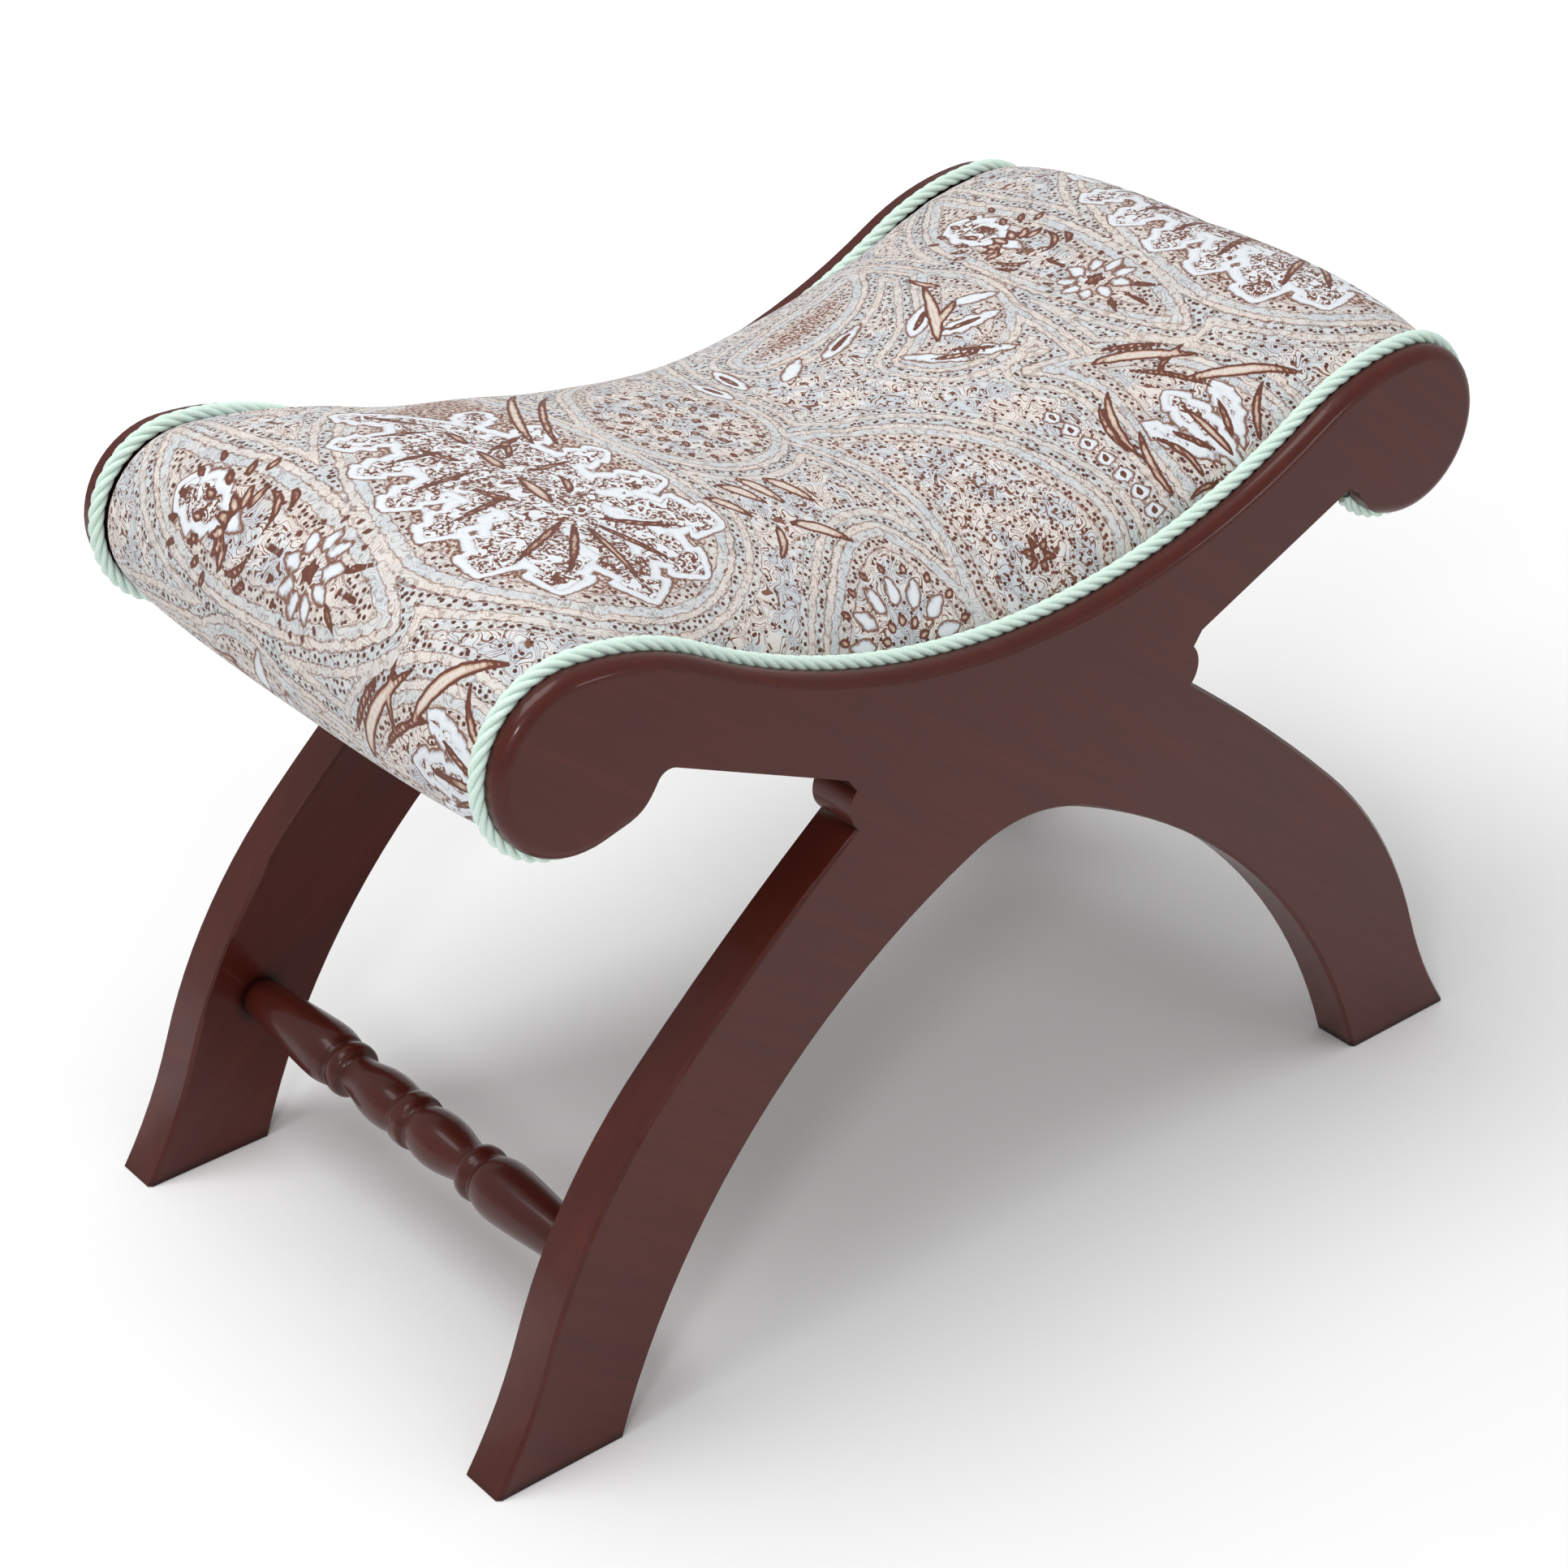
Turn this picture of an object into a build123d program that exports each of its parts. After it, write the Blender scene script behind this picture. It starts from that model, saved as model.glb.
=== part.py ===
from build123d import *
from math import atan2, copysign, cos, degrees, pi, radians, sin, sqrt, tan
import os

# A low stool on two X-shaped side frames with scrolled arms. The frames carry a saddle seat, padded and covered,
# with a trim cord along each side. X runs along the stool, Y across it from the near frame to the far one, and Z
# up from the floor. All lengths are millimetres.

# Overall sizes
toe_length = 570.0
frame_depth = 300.0
board = 24.0

# Top edge of a side frame: a saddle between two scrolls, all of tangent arcs
saddle_low = 301.5
scroll_top = 362.5
scroll_centre = 226.5
scroll_radius = 38.8
saddle_radius = 327.5

# Legs, arch and the crossing
foot_length = 65.0
crotch_height = 246.0
crotch_half = 94.1
bead_height = 17.5
bead_depth = 3.4
arm_foot = (98.7, 270.0)
arm_rise = 24.1
notch_radius = 7.0
arch_crown_half = 30.0
arch_crown_height = 208.1
arch_side_radius = 347.0

# Points on a leg's outer edge, as shares of half the length over the toes and of the crotch's height
thigh_shares = (0.5035, 0.836)
knee_shares = (0.668, 0.661)
ankle_shares = (0.898, 0.240)

# Edges: a round along the near frame's top and scrolls, a smaller one on the far frame, a light easing along the
# legs. The rounds run out of the wood under the scrolls.
near_round = 6.0
far_round = 4.0
round_end_angle = 195.0
round_run_out = 24.0
leg_ease = 1.6

# A frame's outer layer, in front of the cord, and the crossing's lap behind it: where the lap's shoulders meet the
# top edge and the arch, and the dowels that pin it
outer_layer = 8.5
shoulder_top_half = 60.0
shoulder_arm_half = 103.0
shoulder_leg = (98.0, 241.5)
shoulder_arch = (50.0, 198.0)
dowel_radius = 4.0
dowel_depth = 20.0
dowel_height = 262.0
dowel_spacing = 44.0

# Seat edge: the rebate that takes the cover's edge and the cord that hides it
rebate = 2.5
cord_radius = 3.5
cord_gap = 0.1
cord_end_angle = 232.0

# Wood under the seat
rail_gap = 0.3
slat_thick = 10.0
slat_width = 30.0
slat_count = 9
slat_pitch = 41.0
bearer_wide = 18.0
bearer_deep = 20.0
bearer_short = 40.5

# Padding and cloth
soft_gap = 0.3
cover_thick = 1.2
wall_height = 3.0
dust_thick = 0.8
dust_short = 10.0
dust_inset = 8.0

# Turned stretchers, with their tenons
left_stretcher_from_toe = 67.0
right_stretcher_from_toe = 57.0
stretcher_height = 77.0
tenon_radius = 7.5
tenon_length = 14.0
tenon_gap = 0.1
stretcher_radius = 14.0

# Fasteners
screw_radius = 2.0
screw_head_radius = 4.0
screw_head_deep = 2.6
bearer_screw_length = 32.0
bearer_screw_count = 6
slat_screw_length = 24.0
screw_gap = 0.1
tack_head_radius = 3.0
tack_head_thick = 0.6
tack_shank_radius = 0.7
tack_length = 7.0
tack_count = 6
tack_from_end = 21.0

# How far a cutting solid reaches past what it cuts
overrun = 5.0

half_length = toe_length / 2
outer_face = frame_depth / 2
lap_face = outer_face - outer_layer
inner_face = outer_face - board
stretcher_places = (left_stretcher_from_toe - half_length, half_length - right_stretcher_from_toe)
bearer_half = scroll_centre - bearer_short
dust_half = bearer_half - dust_short
tack_pitch = 2 * (dust_half - tack_from_end) / (tack_count - 1)

# The seat's half section is a low wall, a side arc and a top arc. These are shares of its half width and of its
# crown above the wall.
side_shares = (0.87, 0.45)
shoulder_shares = (0.66, 0.80)

# Crown of the padding above the frame's top edge, as shares of its greatest height: first at places along the stool
# that are shares of the scroll's distance from the middle, then round the roll, at angles from its top.
crown_height = 47.0
crown_places_share = (0.0, 0.14, 0.28, 0.42, 0.54, 0.64, 0.74, 0.83, 0.92)
crown_shares = (0.96, 0.98, 1.00, 0.98, 0.91, 0.77, 0.58, 0.44, 0.37)
roll_angles = (0, 24, 50, 76, 102, 128, 154, 180, 208)
roll_crown_shares = (0.36, 0.32, 0.24, 0.17, 0.13, 0.12, 0.12, 0.12, 0.12)

# Radius of a stretcher from its middle ring to the shoulder of its tenon, as shares of half its length and of its
# greatest radius
turning_shares = (
    (0.000, 0.89), (0.034, 0.89), (0.050, 0.78), (0.095, 0.80), (0.160, 0.91), (0.230, 0.86), (0.330, 0.68),
    (0.360, 0.68), (0.372, 0.88), (0.396, 0.93), (0.428, 0.88), (0.440, 0.80), (0.456, 0.86), (0.520, 1.00),
    (0.640, 0.96), (0.800, 0.83), (1.000, 0.68),
)

# Top edge worked out: the hump between saddle and scroll is tangent to both
rise = scroll_top - saddle_low
bend = 2 * atan2(rise, scroll_centre)
hump_radius = scroll_centre / sin(bend) - saddle_radius
scroll_height = scroll_top - scroll_radius


def top_point(along, lift=0.0):
    """Point of the frame's top edge at a distance along X from the middle, lifted square to the edge."""
    side = -1 if along < 0 else 1
    reach = abs(along)
    if reach <= saddle_radius * sin(bend):
        turn = atan2(reach, sqrt(saddle_radius**2 - reach**2))
        radius = saddle_radius - lift
        return side * radius * sin(turn), saddle_low + saddle_radius - radius * cos(turn)
    turn = atan2(scroll_centre - reach, sqrt(hump_radius**2 - (scroll_centre - reach) ** 2))
    radius = hump_radius + lift
    return side * (scroll_centre - radius * sin(turn)), scroll_top - hump_radius + radius * cos(turn)


def top_turn(along):
    """Slope of the top edge there, in degrees, rising towards +X."""
    step = saddle_radius / 1000
    low = top_point(along - step)
    high = top_point(along + step)
    return degrees(atan2(high[1] - low[1], high[0] - low[0]))


def roll_point(angle, lift=0.0):
    """Point of the right scroll's rim at an angle from its top, lifted off it."""
    radius = scroll_radius + lift
    return scroll_centre + radius * sin(radians(angle)), scroll_height + radius * cos(radians(angle))


def mirrored(point):
    """The same point on the other side of the middle."""
    return -point[0], point[1]


def right_top_edges(lift, end_angle):
    """Saddle, hump and scroll arcs of the right half, lifted off the wood, ending at an angle round the scroll."""
    join = saddle_radius * sin(bend)
    half = scroll_centre - hump_radius * sin(bend / 2)
    return [
        ThreePointArc(top_point(0, lift), top_point(join / 2, lift), top_point(join, lift)),
        ThreePointArc(top_point(join, lift), top_point(half, lift), roll_point(0, lift)),
        ThreePointArc(roll_point(0, lift), roll_point(end_angle / 2, lift), roll_point(end_angle, lift)),
    ]


def notch_arc(inset):
    """Small concave arc where an arm's underside meets its scroll."""
    along = (cos(radians(arm_rise)), sin(radians(arm_rise)))
    up = (-along[1], along[0])
    reach = (scroll_centre - arm_foot[0], scroll_height - arm_foot[1])
    radius = scroll_radius - inset
    scroll_s = reach[0] * along[0] + reach[1] * along[1]
    scroll_t = reach[0] * up[0] + reach[1] * up[1]
    bow_s = scroll_s - sqrt((radius + notch_radius) ** 2 - (scroll_t + notch_radius) ** 2)

    def place(s, t):
        return arm_foot[0] + s * along[0] + t * up[0], arm_foot[1] + s * along[1] + t * up[1]

    bow = place(bow_s, -notch_radius)
    to_scroll = atan2(scroll_height - bow[1], scroll_centre - bow[0])
    to_arm = atan2(up[1], up[0])
    middle = (to_scroll + to_arm) / 2
    ends = [(bow[0] + notch_radius * cos(a), bow[1] + notch_radius * sin(a)) for a in (to_scroll, middle, to_arm)]
    return ThreePointArc(*ends)


def side_plane(depth):
    """Upright plane along the stool, seen from the near side, at a place across it."""
    return Plane(origin=(0, depth, 0), x_dir=(1, 0, 0), z_dir=(0, -1, 0))


def run_on(arc):
    """The same arc, run on past its end."""
    spoke = arc @ 1 - arc.arc_center
    way = (arc @ 0 - arc.arc_center).cross(spoke).Z
    turn = copysign(degrees(overrun / arc.radius), way)
    return ThreePointArc(arc @ 0, arc @ 0.5, arc.arc_center + spoke.rotate(Axis.Z, turn))


def frame_outline(inset):
    """Face of a side frame's outline, with its top edge and scrolls lowered by an inset.

    Its legs run on past the floor, which cuts them flat once their edges are eased.
    """
    notch = notch_arc(inset)
    scroll_end = notch @ 0
    end_angle = degrees(atan2(scroll_end.X - scroll_centre, scroll_end.Y - scroll_height)) % 360
    upper_notch = (crotch_half, crotch_height + bead_height)
    bead = (crotch_half + bead_depth, crotch_height + bead_height / 2)
    lower_notch = (crotch_half, crotch_height)
    thigh_place = (half_length * thigh_shares[0], crotch_height * thigh_shares[1])
    knee = (half_length * knee_shares[0], crotch_height * knee_shares[1])
    ankle = (half_length * ankle_shares[0], crotch_height * ankle_shares[1])
    toe = (half_length, 0)
    heel = (half_length - foot_length, 0)
    arch_top = (arch_crown_half, arch_crown_height)
    thigh = ThreePointArc(lower_notch, thigh_place, knee)
    shin = TangentArc(knee, ankle, tangent=thigh % 1)
    flare = run_on(TangentArc(ankle, toe, tangent=shin % 1))
    side = run_on(RadiusArc(arch_top, heel, arch_side_radius))
    crown = TangentArc(arch_top, mirrored(arch_top), tangent=-(side % 0))
    apex = crown @ 0.5
    edges = right_top_edges(-inset, end_angle) + [
        notch,
        Line(notch @ 1, arm_foot),
        Line(arm_foot, upper_notch),
        ThreePointArc(upper_notch, bead, lower_notch),
        thigh,
        shin,
        flare,
        Line(flare @ 1, side @ 1),
        side,
        ThreePointArc(arch_top, crown @ 0.25, apex),
        Line(apex, top_point(0, -inset)),
    ]
    half = make_face(edges)
    return half + mirror(half, Plane.YZ)


def eased(layer, face):
    """A layer of a frame with the edges of its legs and arch eased on one face."""
    edges = [
        edge
        for edge in layer.edges()
        if abs(edge.center().Y - face) < leg_ease and leg_ease < edge.center().Z < crotch_height
        and edge.bounding_box().size.Y < leg_ease
    ]
    return chamfer(edges, leg_ease)


def top_round_cutter(edge_round):
    """Solid that takes the square corner off a near frame's top edge and scrolls and leaves a round."""
    corner = [
        Line((-overrun, -overrun), (edge_round, -overrun)),
        Line((edge_round, -overrun), (edge_round, 0)),
        RadiusArc((edge_round, 0), (0, edge_round), edge_round),
        Line((0, edge_round), (-overrun, edge_round)),
        Line((-overrun, edge_round), (-overrun, -overrun)),
    ]
    right = right_top_edges(0, round_end_angle)
    end = right[-1] @ 1
    run_out = Line(end, end + (right[-1] % 1) * round_run_out)
    right.append(run_out)
    path = side_plane(-outer_face) * Wire([edge.mirror(Plane.YZ) for edge in right] + right)
    far = run_out @ 1
    way = run_out % 1
    start = Plane(origin=(-far.X, -outer_face, far.Y), x_dir=(0, 1, 0), z_dir=(-way.X, 0, way.Y))
    return sweep(start * make_face(corner), path=path)


def region(points):
    """Block through the near frame over a polygon in its plane, to share the frame out between its members."""
    ring = Polyline(*points, close=True)
    return extrude(side_plane(-inner_face + overrun) * make_face(ring), board + 2 * overrun)


def run_past(start, end):
    """Two points of a shoulder's line, a little before its start and well past its end."""
    run = (end[0] - start[0], end[1] - start[1])
    return (start[0] - run[0] / 10, start[1] - run[1] / 10), (end[0] + run[0] / 2, end[1] + run[1] / 2)


def arm_region():
    """The right arm and its scroll, beyond the lap's upper shoulder."""
    under = arm_foot[1] + (shoulder_arm_half - arm_foot[0]) * tan(radians(arm_rise))
    head = top_point(shoulder_top_half)
    start, past = run_past((shoulder_arm_half, under), head)
    far = toe_length
    return region([start, past, (past[0], far), (far, far), (far, start[1])])


def leg_region():
    """The right leg, below the lap's lower shoulder."""
    start, past = run_past(shoulder_leg, shoulder_arch)
    far = toe_length
    return region([start, past, (past[0], -far), (far, -far), (far, start[1])])


def near_members(edge_round):
    """A near frame's two members, lapped into each other where they cross, with its top edge rounded."""
    outer = extrude(side_plane(-lap_face) * frame_outline(0), outer_layer)
    inner = extrude(side_plane(-inner_face) * frame_outline(rebate), board - outer_layer)
    below = Box(2 * toe_length, 2 * frame_depth, toe_length, align=(Align.CENTER, Align.CENTER, Align.MAX))
    outer = eased(outer, -outer_face) - top_round_cutter(edge_round) - below
    inner = eased(inner, -inner_face) - below
    arm_right = arm_region()
    leg_right = leg_region()
    arm_left = mirror(arm_right, Plane.YZ)
    leg_left = mirror(leg_right, Plane.YZ)
    rising = (outer - arm_left - leg_right) + (inner & arm_right) + (inner & leg_left)
    falling = (inner - arm_right - leg_left) + (outer & arm_left) + (outer & leg_right)
    return rising, falling


def lap_dowels():
    """Blind dowels through the near frame's lap, put in from the seat's side."""
    pegs = []
    for side in (-1, 1):
        place = Plane(origin=(side * dowel_spacing / 2, -inner_face, dowel_height), z_dir=(0, -1, 0))
        pegs.append(extrude(place * Circle(dowel_radius), dowel_depth))
    return pegs


def stretcher(place_along):
    """Turned stretcher between two feet, with a round tenon at each end."""
    reach = inner_face
    right = [(reach * place, stretcher_radius * size) for place, size in turning_shares]
    left = [(-place, size) for place, size in reversed(right[1:])]
    tip = reach + tenon_length
    ends = [(tip, tenon_radius), (tip, 0), (-tip, 0), (-tip, tenon_radius)]
    ring = Polyline(*left, *right, (reach, tenon_radius), *ends, (-reach, tenon_radius), close=True)
    place = Plane(origin=(place_along, 0, stretcher_height), x_dir=(0, 1, 0), z_dir=(1, 0, 0))
    axis = Axis((place_along, 0, stretcher_height), (0, 1, 0))
    return revolve(place * make_face(ring), axis)


def sockets():
    """Blind holes in the legs for the stretchers' tenons."""
    holes = []
    for place_along in stretcher_places:
        place = Plane(origin=(place_along, 0, stretcher_height), z_dir=(0, 1, 0))
        holes.append(extrude(place * Circle(tenon_radius + tenon_gap), inner_face + tenon_length + tenon_gap, both=True))
    return holes


def band(top, bottom, half, depth_from, depth_to):
    """Strip that follows the frame's top edge between two depths below it, over a stretch across the stool."""
    join = saddle_radius * sin(bend)
    mid = (join + half) / 2
    right = [
        ThreePointArc(top_point(0, -top), top_point(join / 2, -top), top_point(join, -top)),
        ThreePointArc(top_point(join, -top), top_point(mid, -top), top_point(half, -top)),
        Line(top_point(half, -top), top_point(half, -bottom)),
        ThreePointArc(top_point(half, -bottom), top_point(mid, -bottom), top_point(join, -bottom)),
        ThreePointArc(top_point(join, -bottom), top_point(join / 2, -bottom), top_point(0, -bottom)),
        Line(top_point(0, -bottom), top_point(0, -top)),
    ]
    face = make_face(right)
    whole = face + mirror(face, Plane.YZ)
    return extrude(side_plane(depth_to) * whole, depth_to - depth_from)


def rail(side):
    """Round rail inside a roll, between the two scrolls."""
    place = Plane(origin=(side * scroll_centre, 0, scroll_height), z_dir=(0, 1, 0))
    return extrude(place * Circle(scroll_radius - rebate - rail_gap), inner_face, both=True)


def bearer(side):
    """Curved bearer screwed to the inner face of a side frame."""
    low = side * inner_face
    high = side * (inner_face - bearer_wide)
    top = rebate + slat_thick + rail_gap
    strip = band(top, top + bearer_deep, bearer_half, min(low, high), max(low, high))
    for end in (-1, 1):
        place = Plane(origin=(end * scroll_centre, 0, scroll_height), z_dir=(0, 1, 0))
        strip -= extrude(place * Circle(scroll_radius - rebate), inner_face, both=True)
    return strip


def slat_place(index):
    """Distance of a slat's middle from the stool's middle."""
    return (index - (slat_count - 1) / 2) * slat_pitch


def slats():
    """Cross slats, shaped to the saddle, that lie on the two bearers."""
    whole = band(rebate, rebate + slat_thick, bearer_half, -inner_face, inner_face)
    boards = []
    for index in range(slat_count):
        place = slat_place(index)
        centre = top_point(place, -rebate - slat_thick / 2)
        slot = Plane(origin=(centre[0], 0, centre[1])).rotated((0, -top_turn(place), 0))
        boards.append(whole & slot * Box(slat_width, frame_depth, board))
    return boards


def screw(head, inward, length, gap=0.0):
    """Countersunk wood screw with its head's face at a point, pointing inward."""
    place = Plane(origin=head, z_dir=inward)
    cone = place * Cone(
        screw_head_radius + gap,
        screw_radius + gap,
        screw_head_deep,
        align=(Align.CENTER, Align.CENTER, Align.MIN),
    )
    shank = place * Cylinder(screw_radius + gap, length + gap, align=(Align.CENTER, Align.CENTER, Align.MIN))
    return cone + shank


def bearer_screws(gap=0.0):
    """Screws from the bearers' inner faces into the frames."""
    depth = rebate + slat_thick + rail_gap + bearer_deep / 2
    made = []
    for side in (-1, 1):
        for index in range(bearer_screw_count):
            place = (index - (bearer_screw_count - 1) / 2) * slat_pitch
            spot = top_point(place, -depth)
            head = (spot[0], side * (inner_face - bearer_wide), spot[1])
            made.append(screw(head, (0, side, 0), bearer_screw_length, gap))
    return made


def slat_screws(gap=0.0):
    """Screws from the slats' tops down into the bearers."""
    made = []
    for index in range(slat_count):
        place = slat_place(index)
        head = top_point(place, -rebate - soft_gap)
        turn = radians(top_turn(place))
        for side in (-1, 1):
            spot = (head[0], side * (inner_face - bearer_wide / 2), head[1])
            made.append(screw(spot, (sin(turn), 0, -cos(turn)), slat_screw_length, gap))
    return made


def tacks(gap=0.0):
    """Tacks that hold the dust cloth up to the bearers."""
    depth = rebate + slat_thick + rail_gap + bearer_deep + soft_gap + dust_thick
    made = []
    for index in range(tack_count):
        place = (index - (tack_count - 1) / 2) * tack_pitch
        foot = top_point(place, -depth - tack_head_thick)
        turn = radians(top_turn(place))
        for side in (-1, 1):
            spot = Plane(
                origin=(foot[0], side * (inner_face - bearer_wide / 2), foot[1]),
                z_dir=(-sin(turn), 0, cos(turn)),
            )
            up = (Align.CENTER, Align.CENTER, Align.MIN)
            head = spot * Cylinder(tack_head_radius + gap, tack_head_thick, align=up)
            made.append(head + spot * Cylinder(tack_shank_radius + gap, tack_length + gap, align=up))
    return made


def seat_section(half_width, base, crown):
    """Closed half-round section of the seat across the stool: flat base, low walls, side arcs and a top arc."""
    over = crown - wall_height
    side = (half_width * side_shares[0], wall_height + over * side_shares[1])
    shoulder = (half_width * shoulder_shares[0], wall_height + over * shoulder_shares[1])
    wall = (half_width, wall_height)
    foot = (half_width, base)
    edges = [
        Line(mirrored(foot), foot),
        Line(foot, wall),
        ThreePointArc(wall, side, shoulder),
        ThreePointArc(shoulder, (0, crown), mirrored(shoulder)),
        ThreePointArc(mirrored(shoulder), mirrored(side), mirrored(wall)),
        Line(mirrored(wall), mirrored(foot)),
    ]
    return make_face(edges)


def seat_form(half_width, skin):
    """The seat's rounded form from roll to roll, a skin's thickness outside the padding."""
    base = -rebate - soft_gap - board / 2
    right = []
    for share, crown in zip(crown_places_share, crown_shares):
        along = share * scroll_centre
        point = top_point(along)
        right.append((point, top_turn(along), crown))
    for angle, crown in zip(roll_angles, roll_crown_shares):
        right.append((roll_point(angle), -angle, crown))
    left = [(mirrored(point), -turn, crown) for point, turn, crown in reversed(right[1:])]
    sections = []
    for point, turn, crown in left + right:
        slope = radians(turn)
        place = Plane(
            origin=(point[0], 0, point[1]),
            x_dir=(0, 1, 0),
            z_dir=(cos(slope), 0, sin(slope)),
        )
        sections.append(place * seat_section(half_width, base, crown_height * crown + skin))
    return loft(sections)


def seat_base(lift):
    """Everything under the padding, up to a lift above the rebate's floor, and all that lies past its ends."""
    end = roll_angles[-1]
    right = right_top_edges(lift - rebate, end)
    closing = Line(right[-1] @ 1, (scroll_centre - scroll_radius, scroll_height))
    under = Line((scroll_centre - scroll_radius, scroll_height), (0, crotch_height))
    middle = Line((0, crotch_height), top_point(0, lift - rebate))
    half = make_face(right + [closing, under, middle])
    whole = half + mirror(half, Plane.YZ)
    return extrude(side_plane(0) * whole, frame_depth, both=True)


def trim_cord(side):
    """Trim cord laid in the rebate's corner, round both scrolls to the notches under them."""
    lift = cord_radius - rebate + cord_gap
    depth = side * (lap_face - cord_radius - cord_gap)
    right = right_top_edges(lift, cord_end_angle)
    path = side_plane(depth) * Wire([edge.mirror(Plane.YZ) for edge in right] + right)
    start = Plane(origin=path @ 0, z_dir=path % 0)
    tube = sweep(start * Circle(cord_radius), path=path)
    print("cord volume over section times length", tube.volume / (pi * cord_radius**2 * path.length))
    return tube


os.makedirs("parts", exist_ok=True)

# The two frames: the far one is a near one with a smaller round, turned over
pegs = lap_dowels()
holes = sockets() + bearer_screws(screw_gap)
for peg in pegs:
    bore = Cylinder(dowel_radius + screw_gap, dowel_depth + 2 * screw_gap)
    holes.append(Plane(origin=peg.center(), z_dir=(0, 1, 0)) * bore)
near = list(near_members(near_round))
far = list(near_members(far_round))
for hole in holes:
    near = [member - hole for member in near]
    far = [member - hole for member in far]
for member, name in zip(near, ("left_arm_right", "right_arm_left")):
    export_step(member, f"parts/front_leg_{name}.step")
for member, name in zip(far, ("left_arm_right", "right_arm_left")):
    export_step(mirror(member, Plane.XZ), f"parts/back_leg_{name}.step")
export_step(Compound(pegs + [mirror(peg, Plane.XZ) for peg in pegs]), "parts/lap_dowels.step")

# Stretchers between the feet
for place_along, name in zip(stretcher_places, ("left", "right")):
    export_step(stretcher(place_along), f"parts/stretcher_{name}.step")

# Wood under the seat, and what fastens it
tack_holes = tacks(screw_gap)
for side, name in ((-1, "front"), (1, "back")):
    strip = bearer(side)
    for hole in bearer_screws(screw_gap) + slat_screws(screw_gap) + tack_holes:
        strip -= hole
    export_step(strip, f"parts/bearer_{name}.step")
for side, name in ((-1, "left"), (1, "right")):
    export_step(rail(side), f"parts/roll_rail_{name}.step")
for index, slat in enumerate(slats(), 1):
    for hole in slat_screws(screw_gap):
        slat -= hole
    export_step(slat, f"parts/seat_slat_{index}.step")
export_step(Compound(bearer_screws()), "parts/bearer_screws.step")
export_step(Compound(slat_screws()), "parts/slat_screws.step")

# Dust cloth under the bearers, with its tacks
dust_top = rebate + slat_thick + rail_gap + bearer_deep + soft_gap
cloth = band(dust_top, dust_top + dust_thick, dust_half, dust_inset - inner_face, inner_face - dust_inset)
for hole in tack_holes:
    cloth -= hole
export_step(cloth, "parts/dust_cloth.step")
export_step(Compound(tacks()), "parts/dust_cloth_tacks.step")

# Padding, its cover and the cords along the cover's edges
cover_half = lap_face - 2 * (cord_radius + cord_gap) - soft_gap
pad_half = cover_half - cover_thick - soft_gap
pad_form = seat_form(pad_half, 0)
pad = pad_form - seat_base(soft_gap)
cover = seat_form(cover_half, soft_gap + cover_thick) - seat_base(soft_gap)
cover = cover - seat_form(pad_half + soft_gap, soft_gap)
export_step(pad, "parts/seat_pad.step")
export_step(cover, "parts/seat_cover.step")
export_step(trim_cord(-1), "parts/trim_cord_front.step")
export_step(trim_cord(1), "parts/trim_cord_back.step")
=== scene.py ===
from math import atan2, cos, pi, radians, sin

import bpy
import numpy as np
from mathutils import Matrix, Vector


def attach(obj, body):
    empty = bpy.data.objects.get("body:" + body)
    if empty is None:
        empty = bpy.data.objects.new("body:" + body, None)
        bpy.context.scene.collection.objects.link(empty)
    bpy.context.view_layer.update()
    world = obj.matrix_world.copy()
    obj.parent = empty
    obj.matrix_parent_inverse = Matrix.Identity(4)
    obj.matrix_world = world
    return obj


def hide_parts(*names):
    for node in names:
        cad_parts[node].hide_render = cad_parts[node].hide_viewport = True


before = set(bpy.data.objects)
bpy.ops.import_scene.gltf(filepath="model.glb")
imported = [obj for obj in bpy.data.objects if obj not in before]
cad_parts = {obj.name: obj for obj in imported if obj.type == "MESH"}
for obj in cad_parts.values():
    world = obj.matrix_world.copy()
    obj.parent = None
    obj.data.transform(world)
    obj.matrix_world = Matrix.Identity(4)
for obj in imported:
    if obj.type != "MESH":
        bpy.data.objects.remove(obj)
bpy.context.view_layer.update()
scene = bpy.context.scene

# The photographer's camera: it stands a metre and a half away, to the left of the stool and in front of it, and
# looks a third of a right angle down. Its place and its lens were worked out from the frames' edges.
yaw = radians(38.943)
pitch = radians(30.470)
roll = radians(0.596)
looking = Vector((cos(pitch) * sin(yaw), cos(pitch) * cos(yaw), -sin(pitch)))
level = Vector((cos(yaw), -sin(yaw), 0.0))
sinking = looking.cross(level)
across = cos(roll) * level + sin(roll) * sinking
upward = sin(roll) * level - cos(roll) * sinking
lens_pixels = 4392.5
picture_pixels = 1932
film_width = 36.0
camera = bpy.data.objects.new("camera", bpy.data.cameras.new("camera"))
camera.data.sensor_width = film_width
camera.data.lens = lens_pixels / picture_pixels * film_width
turned = Matrix((across, upward, -looking)).transposed().to_4x4()
camera.matrix_world = Matrix.Translation((-0.8845, -1.0817, 0.9858)) @ turned
scene.collection.objects.link(camera)
scene.camera = camera
scene.view_settings.view_transform = "Standard"


# The studio: a white room light all round, one large soft box overhead on the left, a small one beside the camera
# and a narrow one low on the right. The floor is white paper that keeps its soft shadow, painted brighter further out.
def colour(code):
    """A colour written as six sRGB hex digits, as the linear values that a shader takes."""
    parts = [int(code[i:i + 2], 16) / 255 for i in (1, 3, 5)]
    return tuple(p / 12.92 if p <= 0.04045 else ((p + 0.055) / 1.055) ** 2.4 for p in parts) + (1.0,)


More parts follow.
